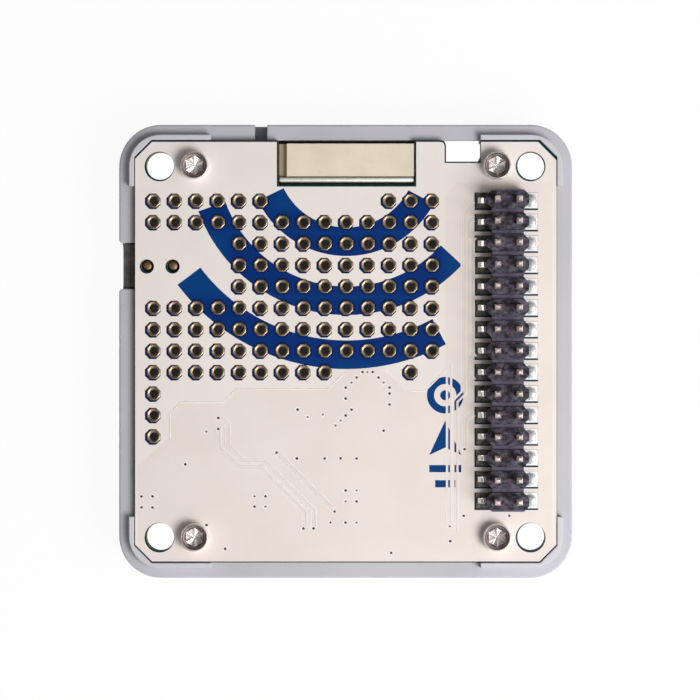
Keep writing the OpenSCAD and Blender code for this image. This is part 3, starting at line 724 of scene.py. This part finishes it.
def antenna_ceramic():
    f = Finish("antenna_ceramic")
    place = f.place()
    cloud = f.noise(0.35, 4)
    speck = f.span(f.noise(4, 3), 0.62, 0.75)
    fired = f.blend(f.span(cloud, 0.3, 0.7), srgb(221, 206, 182), srgb(230, 218, 198))
    fired = f.blend(0.25 * speck, fired, srgb(176, 156, 122))
    step_end = ceramic_low.x / MM + CERAMIC_STEP
    # painted shade on the step at the ceramic's left end
    step_shade = f.span(place[0], step_end + STEP_SHADE_FADE[0], step_end + STEP_SHADE_FADE[1])
    colour = f.blend(0.8 * step_shade, fired, srgb(150, 129, 92))
    right = ceramic_high.x / MM
    # painted highlight along the ceramic's right end
    right_end_highlight = f.span(place[0], right - CERAMIC_HIGHLIGHT_END[0], right - CERAMIC_HIGHLIGHT_END[1])
    colour = f.blend(0.7 * right_end_highlight, colour, srgb(248, 240, 222))
    front = ceramic_low.y / MM
    # painted shade along the ceramic's front edge, where it meets the silver bar
    front_edge_shade = f.span(place[1], front + CERAMIC_FRONT_SHADE[0], front + CERAMIC_FRONT_SHADE[1])
    colour = f.blend(0.85 * front_edge_shade, colour, srgb(62, 48, 36))
    normal = f.bump(f.noise(6, 3), 0.008 * MM, 0.6, f.soft_edge(0.1 * MM))
    return f.shade(Base_Color=colour, Roughness=0.55 + 0.2 * speck, Normal=normal)


def plain_moulding(name, dark, light, rough):
    f = Finish(name)
    grain = f.noise(5, 3)
    colour = f.blend(f.span(f.noise(0.8, 3), 0.3, 0.7), dark, light)
    normal = f.bump(grain, 0.006 * MM, 0.6, f.soft_edge(0.06 * MM))
    return f.shade(Base_Color=colour, Roughness=rough + 0.15 * grain, Normal=normal)


FINISHES = {
    "frame_plastic": frame_plastic(),
    "board_mask": board_mask(),
    "pad_gold": worn_metal("pad_gold", srgb(142, 124, 104), srgb(178, 158, 136), 0.28),
    "screw_steel": screw_steel(),
    "header_plastic": header_plastic(),
    "bus_plastic": bus_plastic(),
    "pin_gold": worn_metal("pin_gold", srgb(240, 220, 212), srgb(255, 246, 241), 0.28, metal=0.85),
    "tin": worn_metal("tin", srgb(222, 222, 218), srgb(248, 248, 245), 0.12, 2, 0.004),
    "land_tin_painted_light": land_tin_painted_light(),
    "solder": worn_metal("solder", srgb(204, 205, 203), srgb(234, 234, 233), 0.2, 2, 0.006, 0.5),
    "antenna_ceramic": antenna_ceramic(),
    "silver": worn_metal("silver", srgb(238, 234, 227), srgb(253, 250, 245), 0.4, 2, 0.008, 0.5),
    "green_board": plain_moulding("green_board", srgb(16, 62, 28), srgb(28, 86, 44), 0.35),
    "can_metal": worn_metal("can_metal", srgb(196, 196, 192), srgb(220, 220, 216), 0.3, 0.8),
    "capacitor_ceramic": plain_moulding(
        "capacitor_ceramic", srgb(164, 138, 100), srgb(190, 164, 124), 0.5
    ),
    "jack_brass": worn_metal("jack_brass", srgb(132, 106, 78), srgb(166, 136, 104), 0.4),
    "jack_plastic": plain_moulding("jack_plastic", srgb(66, 64, 64), srgb(116, 113, 112), 0.45),
    "insulator_white": plain_moulding(
        "insulator_white", srgb(232, 232, 228), srgb(242, 242, 240), 0.45
    ),
}
field_ink = print_ink("field_ink", srgb(229, 220, 214), srgb(234, 225, 219))
pour_ink = print_ink("pour_ink", srgb(227, 214, 207), srgb(232, 220, 213))
# painted highlight: the vias' rims are printed lighter than the rest of the print
via_rim_highlight_ink = print_ink("via_rim_highlight_ink", srgb(243, 236, 231), srgb(250, 244, 240))
# painted shade: darker ink for the lines along the tracks' edges
track_shade_ink = print_ink("track_shade_ink", srgb(216, 205, 198), srgb(222, 211, 204))
ridge_ink = print_ink("ridge_ink", srgb(231, 221, 215), srgb(236, 227, 221))
# painted shade: dark discs stand for the shade inside the open vias, grey discs for the fainter shade
# in the filled ones
via_hole_shade = plain_moulding("via_hole_shade", srgb(16, 30, 34), srgb(88, 82, 78), 0.4)
filled_via_shade = plain_moulding("filled_via_shade", srgb(92, 84, 80), srgb(146, 136, 130), 0.5)

# Nodes with another finish than the rest of their slot
OWN_FINISH = {
    "header_lands": "land_tin_painted_light", "header_body": "bus_plastic", "jack_housing": "jack_plastic",
}


def dress_nodes():
    """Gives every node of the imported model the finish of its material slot."""
    for part in frame["record"]["subparts"]:
        materials = frame["nodes"][part["node"]].data.materials
        materials.clear()
        materials.append(FINISHES[OWN_FINISH.get(part["node"], part["material_slot"])])


# Pieces


def arc_outline(radius, start, end, stroke, middle, steps=40):
    """Outline of a broad arc with square ends, with its radius in millimetres."""
    def along(r, angles):
        return [
            (middle[0] + r * math.cos(math.radians(a)), middle[1] + r * math.sin(math.radians(a)))
            for a in angles
        ]
    angles = [start + (end - start) * i / steps for i in range(steps + 1)]
    return along(radius * MM + stroke / 2, angles) + along(radius * MM - stroke / 2, angles[::-1])


def relief_opening(back):
    """Outline of the print's opening round the relief notch, with a rounded corner on its left."""
    x0, x1 = RELIEF_X0 - INK_BAY, RELIEF_X1 + INK_SIDE
    y0, y1 = back - RELIEF_D - INK_BAY, back + MM
    turn_x, turn_y = x0 - RELIEF_ROUND, back - INK_BACK - RELIEF_ROUND
    angles = [math.radians(a) for a in range(0, 91, 15)]
    arc = [
        (turn_x + RELIEF_ROUND * math.cos(a), turn_y + RELIEF_ROUND * math.sin(a)) for a in angles
    ]
    return [(x1, y0), (x1, y1), (turn_x, y1)] + arc[::-1] + [(x0, y0)]


def print_cutters():
    """Openings of the print round pads, lands and holes, and the printed shapes left blue."""
    low = BOARD_TOP - CUT_BELOW
    high = BOARD_TOP + CUT_ABOVE
    slip = -INK_SLIP
    opening_r = (PAD_AF / 2 + INK_ROUND_PAD) / math.cos(math.pi / 8)
    pad = prism(8, opening_r, (slip, slip), low, high, math.pi / 8)
    rounds = [copied(pad, [(x, y, 0) for x, y in pad_places()])]
    for y, side in bus_places():
        x0, x1 = sorted((BUS_X + side * (LAND_REACH - LAND_LEN), BUS_X + side * LAND_REACH))
        x0 += slip - INK_ROUND_LAND
        x1 += slip + INK_ROUND_LAND
        half = LAND_W / 2 + INK_ROUND_LAND
        rounds.append(block((x0, y + slip - half, low), (x1, y + slip + half, high)))
    for x, y in corner_places(HOLE_AT, HOLE_AT):
        middle = (x - CORNER_SLIP, y - CORNER_SLIP)
        rounds.append(prism(40, HOLE_R + INK_ROUND_CORNER, middle, low, high))
    for x in PEGS_X:
        rounds.append(prism(28, PEG_HOLE_R + INK_ROUND_PEG, (x + slip, PEGS_Y + slip), low, high))
    back = BOARD_Y + BOARD_HALF
    side = BAY_GAP + INK_BAY
    bay_low = (ceramic_low.x - side, BAY_EDGE - INK_BAY, low)
    rounds.append(block(bay_low, (ceramic_high.x + side, back + MM, high)))
    rounds.append(slab(relief_opening(back), low, high))

    shapes = [slab(arc_outline(r, a, b, ARC_STROKE, ARC_MIDDLE), low, high) for r, a, b in ARCS]
    ring_middle = (SYMBOL_X, RING_Y)
    shapes.append(slab(arc_outline(RING_R, 0, RING_TURN, SYMBOL_STROKE, ring_middle), low, high))
    shapes.append(prism(24, DOT_R, ring_middle, low, high))
    arrow = [(SYMBOL_X + x * MM, ARROW_TIP_Y + y * MM) for x, y in ARROW]
    shapes.append(slab(arrow, low, high))
    for bar_y, bar_half in BARS:
        x0, y0 = SYMBOL_X - bar_half * MM, BOARD_Y + bar_y * MM - SYMBOL_STROKE / 2
        shapes.append(block((x0, y0, low), (x0 + 2 * bar_half * MM, y0 + SYMBOL_STROKE, high)))
    return joined(rounds), joined(shapes)


# Edge of the raised copper under the print, from the left edge to the header, in millimetres
POUR_EDGE = [
    (-24.55, -26), (-24.55, -13.6), (-20.85, -10.3), (-20.85, -7.4), (-19.5, -6.05),
    (-14.5, -6.05), (-13, -4.5), (-2.1, -4.5), (-0.1, -2.5), (0.4, -2), (4.4, -2), (7.1, -4.7),
    (9.4, -4.7), (11.9, -2.2), (11.9, 18.6), (13.2, 19.9), (24.5, 19.9), (24.5, -26),
]

# Parts of that edge where the print stands up in a thin ridge
POUR_RIDGES = [POUR_EDGE[2:9], POUR_EDGE[10:14]]

# Share of the print's outline that the raised part keeps to, and how much taller the outline is made to
# trim it
POUR_SHARE = 0.9994
TRIM_RISE = 20


def print_outline():
    """Outline of the print, with its own margin on each side and a deeper cut back right."""
    x0, x1 = BOARD_X - BOARD_HALF + INK_SIDE, BOARD_X + BOARD_HALF - INK_RIGHT
    y0, y1 = BOARD_Y - BOARD_HALF + INK_FRONT, BOARD_Y + BOARD_HALF - INK_BACK
    leg = BOARD_CORNER
    wide = BOARD_CORNER + INK_CORNER_EXTRA
    return [
        (x1, y1 - wide), (x1 - wide, y1), (x0 + leg, y1), (x0, y1 - leg),
        (x0, y0 + leg), (x0 + leg, y0), (x1 - leg, y0), (x1, y0 + leg),
    ]


def printed_face():
    """White print over the whole board, with a slightly raised part over the copper."""
    sheet = slab(print_outline(), BOARD_TOP - INK_SINK, INK_TOP)
    outline = [board_point(x, y) for x, y in POUR_EDGE]
    pour = slab(outline, INK_TOP - POUR_SINK, INK_TOP + POUR_T)
    trim = sheet.copy()
    trim.data = sheet.data.copy()
    bpy.context.scene.collection.objects.link(trim)
    alone(trim)
    edit_all()
    bpy.ops.transform.resize(
        value=(POUR_SHARE, POUR_SHARE, TRIM_RISE), center_override=(BOARD_X, BOARD_Y, BOARD_TOP)
    )
    leave_edit()
    apply_modifier(pour, "BOOLEAN", operation="INTERSECT", solver="EXACT", object=trim)
    bpy.data.objects.remove(trim)

    rounds, shapes = print_cutters()
    for piece in (sheet, pour):
        cut(piece, shapes, keep=True)
        cut(piece, rounds, keep=True)
    bpy.data.objects.remove(rounds)
    bpy.data.objects.remove(shapes)
    hand_in(sheet, "board_print", field_ink)
    hand_in(pour, "board_print_over_copper", pour_ink)


# Plated holes, in millimetres: radii of the barrel, height of the pads and their depth in the board
BARREL_R = 0.45
BARREL_OUTER_R = 0.55
PAD_T = 0.06
PAD_SINK = 0.01


def plated_pads():
    """Octagon pads with bevelled rims round countersunk barrels."""
    bottom = (BOARD_BOTTOM - BOARD_TOP) / MM
    corner = PAD_AF / 2 / MM / math.cos(math.pi / 8)
    section = [
        (BARREL_R, bottom - PAD_T), (BARREL_R, -0.08), (0.57, 0.02), (0.63, 0.05),
        (corner - 0.09, PAD_T), (corner, 0.01), (corner, -PAD_SINK), (BARREL_OUTER_R, -PAD_SINK),
        (BARREL_OUTER_R, bottom + PAD_SINK), (corner, bottom + PAD_SINK), (corner, bottom - PAD_T),
    ]
    pad = turned_ring(section, 16)
    flatten(pad, 8, 0.65)
    pads = copied(pad, [(x, y, BOARD_TOP) for x, y in pad_places()])
    smooth(pads, 25)
    hand_in(pads, "plated_pads", FINISHES["pad_gold"], "proto_pads")


# Screws, in millimetres: radii of head, shank and socket, depth of the socket at its corners, and how
# much deeper its floor lies in the middle and along the flats
HEAD_R = 1.68
SHANK_R = 0.95
SOCKET_R = 1.14
SOCKET_D = 0.62
SOCKET_DIP = 0.4
FLATS_DIP = 0.34
SOCKET_POINT = 0.04  # share of the socket's width left at its deepest point


def star_socket(top):
    """Cutter for a hexagon socket, with a floor of twelve facets that dip to the middle."""
    floor = top - SOCKET_D
    socket = prism(12, SOCKET_R * MM, (0, 0), floor * MM, top * MM + CUT_ABOVE)
    flatten(socket, 6, 0.9)
    edit_faces(socket, lambda face: face.normal.z < -0.9)
    bpy.ops.mesh.extrude_region_move(TRANSFORM_OT_translate={"value": (0, 0, -SOCKET_DIP * MM)})
    bpy.ops.transform.resize(
        value=(SOCKET_POINT, SOCKET_POINT, 1), center_override=(0, 0, (floor - SOCKET_DIP) * MM)
    )
    leave_edit()
    edit_points(
        socket, lambda point: on_flat(point, 6, 0.75) and abs(point.z - floor * MM) < 0.01 * MM
    )
    bpy.ops.transform.translate(value=(0, 0, -FLATS_DIP * MM))
    leave_edit()
    return socket


def socket_screws():
    """Cap screws with a rounded rim and a hexagon socket with a faceted floor."""
    top = SCREW_HEAD_H / MM
    end = -SCREW_LEN / MM
    section = [
        (SHANK_R - 0.15, end), (SHANK_R, end + 0.2), (SHANK_R, 0), (HEAD_R - 0.06, 0), (HEAD_R, 0.05),
        (HEAD_R, top - 0.14), (HEAD_R - 0.03, top - 0.05), (HEAD_R - 0.1, top),
        (HEAD_R - 0.22, top), (HEAD_R - 0.6, top - 0.34),
    ]
    screw = turned_solid(section, 48)
    cut(screw, star_socket(top))
    bevel(screw, 0.03, 1, 50)
    screws = copied(screw, [(x, y, BOARD_TOP) for x, y in corner_places(SCREW_X, SCREW_Y)])
    smooth(screws, 24)
    hand_in(screws, "socket_screws", FINISHES["screw_steel"], "board_screws")


# Rings of the solder on a right-hand land, in millimetres from the header's middle, as
# (inner x, outer x, half width, height)
MOUND_RINGS = [
    (1.8, 3.64, 0.9, 0.06), (1.9, 3.62, 0.87, 0.14), (2.2, 3.56, 0.74, 0.28),
    (2.5, 3.46, 0.56, 0.42), (2.6, 3.3, 0.38, 0.52),
]

# Solder over the end of a left foot, in the same order, how much lower its outer end is, and the height
# at which all the solder starts on the lands
TOE = (2.7, 3.56, 0.4, 0.56)
TOE_FALL = 0.27
SOLDER_FOOT = 0.045


def solder_toe():
    """Small block of solder over the end of a foot, with a top that slopes outwards."""
    x0, x1, half, z = [value * MM for value in TOE]
    toe = block((x0, -half, SOLDER_FOOT * MM), (x1, half, z))
    edit_points(toe, lambda point: point.x > (x0 + x1) / 2 and point.z > z / 2)
    bpy.ops.transform.translate(value=(0, 0, -TOE_FALL * MM))
    leave_edit()
    bevel(toe, 0.1, 2, 40)
    return toe


def solder_mound():
    """Solder drawn up ring by ring from a land."""
    x0, x1, half, z = MOUND_RINGS[0]
    form = block((x0 * MM, -half * MM, SOLDER_FOOT * MM), (x1 * MM, half * MM, z * MM))
    edit_faces(form, lambda face: face.normal.z > 0.9)
    for low_x, high_x, half_y, height in MOUND_RINGS[1:]:
        step = ((low_x + high_x - x0 - x1) / 2 * MM, 0, (height - z) * MM)
        bpy.ops.mesh.extrude_region_move(TRANSFORM_OT_translate={"value": step})
        bpy.ops.transform.resize(
            value=((high_x - low_x) / (x1 - x0), half_y / half, 1),
            center_override=((low_x + high_x) / 2 * MM, 0, height * MM),
        )
        x0, x1, half, z = low_x, high_x, half_y, height
    leave_edit()
    settle()
    apply_modifier(form, "SUBSURF", levels=1, render_levels=1)
    return form


def header_solder():
    """Solder on the header's lands: a toe on each left foot and a full mound on each right one."""
    left = [(BUS_X, y, BOARD_TOP) for y, side in bus_places() if side < 0]
    right = [(BUS_X, y, BOARD_TOP) for y, side in bus_places() if side > 0]
    toes = copied(solder_toe(), left, math.pi)
    smooth(toes, 20)
    hand_in(toes, "solder_toes", FINISHES["tin"])
    mounds = copied(solder_mound(), right)
    smooth(mounds, 60)
    hand_in(mounds, "solder_mounds", FINISHES["solder"])


# Small holes from face to face, in millimetres from the board's centre, open and filled with print
OPEN_VIAS = [
    (-15.1, -7.9), (-15.1, -9.2), (-19, -13.4), (-24.2, -17.2), (-22.9, -17.2), (-24.2, -18.5),
    (-22.9, -18.5), (-9.5, -17.2), (-10.8, -18.4), (-8.2, -12), (-5.8, -12.7), (-2.5, -12.7),
    (-0.6, -12.7), (1.3, -12.7), (-1.3, -19), (0, -20.3), (-5, -21), (-3.8, -21), (0, -16.5),
    (1.3, -17.8), (-16.5, -20.6), (-14.3, -23.4), (-5.7, -6.9), (0, -5.6), (0, -4.3), (1.3, -3.1),
    (2, -2.45), (3.2, -2.45), (3.9, -3.1), (5.2, -4.3), (5.2, -5), (5.2, -6.3), (0.7, -6.9),
    (0, -7.6), (4.5, -9.4), (5.4, -23.9), (12.4, -22.5), (14.1, -11.6), (14, -19.5), (19.4, -19.5),
]
FILLED_VIAS = [
    (-16.5, -9.5), (-10.8, -17.2), (-9.5, -18.4), (-4.5, -7.8), (-2.7, -7.5), (-1.2, -8.8),
    (-1.8, -20.3), (0, -17.8), (1.3, -16.5), (1.3, -20.3), (0.7, -3.7), (2.6, -2.45), (4.5, -3.7),
    (-0.6, -8.2), (12.35, -20.75),
]

# Sections of their rims and cores as (radius, height over the print), and the rims' slip
VIA_RIM = [(0.14, -0.02), (0.15, 0.01), (0.2, 0.013), (0.28, -0.005)]
OPEN_CORE = [(0.165, -0.02), (0.165, 0.014), (0.1, 0.016)]
FILLED_CORE = [(0.14, -0.02), (0.14, 0.014), (0.07, 0.016)]
RIM_SLIP = (-0.06, 0.02)


def vias():
    """Small plated holes under the print, each with a low rim that has slipped to one side and is
    printed lighter as a painted highlight.
    """
    level = INK_TOP + POUR_T
    rim = turned_ring(VIA_RIM, 12)
    open_core = turned_solid(OPEN_CORE, 12)
    filled_core = turned_solid(FILLED_CORE, 12)
    open_places = [(*board_point(x, y), level) for x, y in OPEN_VIAS]
    filled_places = [(*board_point(x, y), level) for x, y in FILLED_VIAS]
    slip_x, slip_y = [value * MM for value in RIM_SLIP]
    rims = copied(rim, [(x + slip_x, y + slip_y, z) for x, y, z in open_places + filled_places])
    smooth(rims, 60)
    hand_in(rims, "via_rims", via_rim_highlight_ink)
    # painted shade in the via holes: dark cores for the open vias, grey for the filled
    hand_in(copied(open_core, open_places), "open_vias", via_hole_shade)
    hand_in(copied(filled_core, filled_places), "filled_vias", filled_via_shade)


# Routes of the tracks that show through the print, in millimetres from the board's centre
TRACKS = [
    [
        (-14.8, -7.9), (-14, -8.6), (-14, -11.1), (-12.3, -12.9), (-9.8, -12.9), (-3.8, -18.9),
        (-3.8, -20.9),
    ],
    [(-15.1, -9.2), (-15.1, -11.4), (-12.7, -13.7), (-10.2, -13.7), (-4.9, -19), (-4.9, -20.9)],
    [(-8.2, -12), (-1.3, -19)],
    [(15.3, 17.3), (15, 17.3), (14, 16.3), (14, -4.9), (13, -5.9), (13, -21.4)],
    [(15.3, 15.7), (14.9, 15.7), (14.5, 15.3), (14.5, -2.8), (15.2, -3.5)],
    [(15.3, 13.6), (14.95, 13.25), (14.95, -0.4), (15.3, -0.75)],
    [(12.25, -1.6), (12.25, -20.9)],
    [(15.2, -7.35), (14.6, -7.6), (14.1, -8.2), (14.1, -11.3)],
]

# Edges of a track from its middle line, and the relief along them as (half width, height)
RIDGE_FROM_MIDDLE = 0.29
LINE_FROM_MIDDLE = 0.16
RIDGE = (0.09, 0.016)
LINE = (0.055, 0.009)


def beside(route, distance):
    """A route moved sideways, with mitred corners."""
    moved = []
    for i, (x, y) in enumerate(route):
        normals = []
        first = max(i - 1, 0)
        for (ax, ay), (bx, by) in zip(route[first:i + 1], route[first + 1:i + 2]):
            length = math.hypot(bx - ax, by - ay)
            normals.append((-(by - ay) / length, (bx - ax) / length))
        nx = sum(n[0] for n in normals) / len(normals)
        ny = sum(n[1] for n in normals) / len(normals)
        square = nx * nx + ny * ny
        moved.append((x + nx * distance / square, y + ny * distance / square))
    return moved


def line_relief(route, size):
    """A low rounded ridge along a route on the print, with its section (half width, height)."""
    obj = draw([(*board_point(x, y), 0) for x, y in route])
    leave_edit()
    bpy.ops.object.convert(target="CURVE")
    bpy.context.object.data.bevel_depth = size[0] * MM
    bpy.context.object.data.bevel_resolution = 1
    bpy.context.object.data.use_fill_caps = True
    bpy.ops.object.convert(target="MESH")
    obj = bpy.context.object
    edit_all()
    bpy.ops.transform.resize(value=(1, 1, size[1] / size[0]), center_override=(0, 0, 0))
    bpy.ops.transform.translate(value=(0, 0, INK_TOP + POUR_T))
    leave_edit()
    return obj


def tracks():
    """Edges of the tracks under the print: a pale ridge with a darker line of painted shade inside it.
    """
    def edges(distance, size):
        return [
            line_relief(beside(route, side * distance), size)
            for route in TRACKS for side in (-1, 1)
        ]

    pour_ridges = [line_relief(route, RIDGE) for route in POUR_RIDGES]
    ridges = joined(edges(RIDGE_FROM_MIDDLE, RIDGE) + pour_ridges)
    settle()
    smooth(ridges, 80)
    hand_in(ridges, "track_ridges", ridge_ink)
    # painted shade: the lines inside the ridges get the darker ink
    lines = joined(edges(LINE_FROM_MIDDLE, LINE))
    settle()
    smooth(lines, 80)
    hand_in(lines, "track_lines", track_shade_ink)


def jack_pegs():
    """Locating pegs of the jack, with domed ends in the board's holes."""
    top = (pegs_high.z - BOARD_TOP) / MM
    bottom = (pegs_low.z - BOARD_TOP) / MM
    radius = PEG_R / MM
    section = [
        (radius - 0.1, bottom), (radius, bottom + 0.1), (radius, top - 0.28),
        (radius - 0.05, top - 0.14), (radius - 0.18, top - 0.04), (radius - 0.4, top),
    ]
    pegs = copied(turned_solid(section, 28), [(x, PEGS_Y, BOARD_TOP) for x in PEGS_X])
    smooth(pegs, 50)
    hand_in(pegs, "domed_pegs", FINISHES["jack_brass"], "jack_pegs")


def ground_bar():
    """Silvered plate behind the ceramic, with its top edge and ends rounded."""
    bar = block(ground_low, ground_high)
    bevel(bar, 0.2, 4, 60)
    smooth(bar, 40)
    hand_in(bar, "antenna_ground_bar", FINISHES["silver"], "antenna_ground_plate")


# Floor, light and camera

# Direction of the studio's bright side, and the sky's level from the dim side to the bright one
BRIGHT_SIDE = (0.82, -0.57, 0)
SKY = [(0, 0.06), (0.46, 0.1), (0.55, 0.36), (0.75, 0.72), (1, 1)]

# How white the floor looks beside the part and under it, and in millimetres, how far inside the part's
# outline the darker floor begins and the margins of the white windows under the holes and the notch
FLOOR_BESIDE = 0.94
FLOOR_UNDER = 0.014
UNDER_INSET = 0.6
HOLE_WINDOW = 0.8
NOTCH_WINDOW = (0.3, 0.9)
NOTCH_WINDOW_Y = (22, 27)
FLOOR_SIZE = 4  # in metres


def white_floor():
    """Pale floor that reads as white round the part and through its corner holes and notch."""
    bpy.ops.object.select_all(action="DESELECT")
    bpy.ops.mesh.primitive_plane_add(size=FLOOR_SIZE, location=(0, 0, 0))
    floor = bpy.context.object
    floor.name = "floor"
    f = Finish("floor")
    place = f.place()
    across = (abs(place[0]) - (cad_high.x - FRAME_CORNER) / MM) | 0.0
    along = (abs(place[1]) - (cad_high.y - FRAME_CORNER) / MM) | 0.0
    under = (across * across + along * along) < (FRAME_CORNER / MM - UNDER_INSET) ** 2
    reach = HOLE_R + HOLE_WINDOW * MM
    windows = [
        ((x - reach) / MM, (y - reach) / MM, (x + reach) / MM, (y + reach) / MM)
        for x, y in corner_places(HOLE_AT, HOLE_AT)
    ]
    notch_x0, notch_x1 = RELIEF_X0 / MM - NOTCH_WINDOW[0], RELIEF_X1 / MM + NOTCH_WINDOW[1]
    windows.append((notch_x0, NOTCH_WINDOW_Y[0], notch_x1, NOTCH_WINDOW_Y[1]))
    window = box_depth(place, windows) < 0.0
    share = (FLOOR_BESIDE - FLOOR_BESIDE * under) | window | FLOOR_UNDER
    seen = f.node("LightPath", {}, {}, "Is Camera Ray")
    seen = seen | f.node("LightPath", {}, {}, "Is Glossy Ray")
    seen = seen | f.node("LightPath", {}, {}, "Is Transmission Ray")
    matt = f.node("BsdfDiffuse", {}, {"Color": (0.86, 0.86, 0.86, 1)})
    white = f.node("Emission", {}, {"Color": (1, 1, 1, 1), "Strength": 1.0})
    f.node_out(f.node("MixShader", {}, {0: seen * share, 1: matt, 2: white}))
    floor.data.materials.append(f.material)


def studio_sky():
    """Soft light from all round, brightest low on the side of the main lamp and dim on the other."""
    world = bpy.data.worlds.new("studio")
    bpy.context.scene.world = world
    world.use_nodes = True
    tree = world.node_tree
    tree.nodes.clear()
    direction = tree.nodes.new("ShaderNodeTexCoord")
    towards = tree.nodes.new("ShaderNodeVectorMath")
    towards.operation = "DOT_PRODUCT"
    towards.inputs[1].default_value = BRIGHT_SIDE
    share = tree.nodes.new("ShaderNodeMapRange")
    share.inputs["From Min"].default_value = -1
    ramp = tree.nodes.new("ShaderNodeValToRGB")
    while len(ramp.color_ramp.elements) < len(SKY):
        ramp.color_ramp.elements.new(1)
    for element, (position, level) in zip(ramp.color_ramp.elements, SKY):
        element.position = position
        element.color = (level, level, level, 1)
    background = tree.nodes.new("ShaderNodeBackground")
    output = tree.nodes.new("ShaderNodeOutputWorld")
    tree.links.new(direction.outputs["Generated"], towards.inputs[0])
    tree.links.new(towards.outputs["Value"], share.inputs["Value"])
    tree.links.new(share.outputs[0], ramp.inputs[0])
    tree.links.new(ramp.outputs[0], background.inputs["Color"])
    tree.links.new(background.outputs[0], output.inputs["Surface"])


def softbox(name, azimuth, elevation, distance, size, power):
    """Square lamp aimed at the part. Azimuth is the side that it stands on, anticlockwise from +X."""
    lamp = bpy.data.lights.new(name, "AREA")
    lamp.size = size
    lamp.energy = power
    obj = bpy.data.objects.new(name, lamp)
    a, e = math.radians(azimuth), math.radians(elevation)
    out = distance * math.cos(e)
    obj.location = (out * math.cos(a), out * math.sin(a), distance * math.sin(e))
    obj.rotation_euler = (0, math.pi / 2 - e, a)
    bpy.context.scene.collection.objects.link(obj)


def camera_over_board():
    lens = bpy.data.cameras.new("camera")
    lens.sensor_width = SENSOR
    lens.lens = SENSOR * CAMERA_HEIGHT / VIEW_WIDTH
    lens.clip_start = 0.01
    camera = bpy.data.objects.new("camera", lens)
    camera.location = (*CAMERA_OVER, BOARD_TOP + CAMERA_HEIGHT)
    bpy.context.scene.collection.objects.link(camera)
    bpy.context.scene.camera = camera


dress_nodes()
printed_face()
plated_pads()
socket_screws()
header_solder()
vias()
tracks()
jack_pegs()
ground_bar()
white_floor()
studio_sky()
softbox("key", azimuth=-34, elevation=50, distance=0.3, size=0.16, power=0.78)
softbox("fill", azimuth=176, elevation=56, distance=0.5, size=0.12, power=0.1)
camera_over_board()
bpy.context.scene.view_settings.view_transform = "Standard"
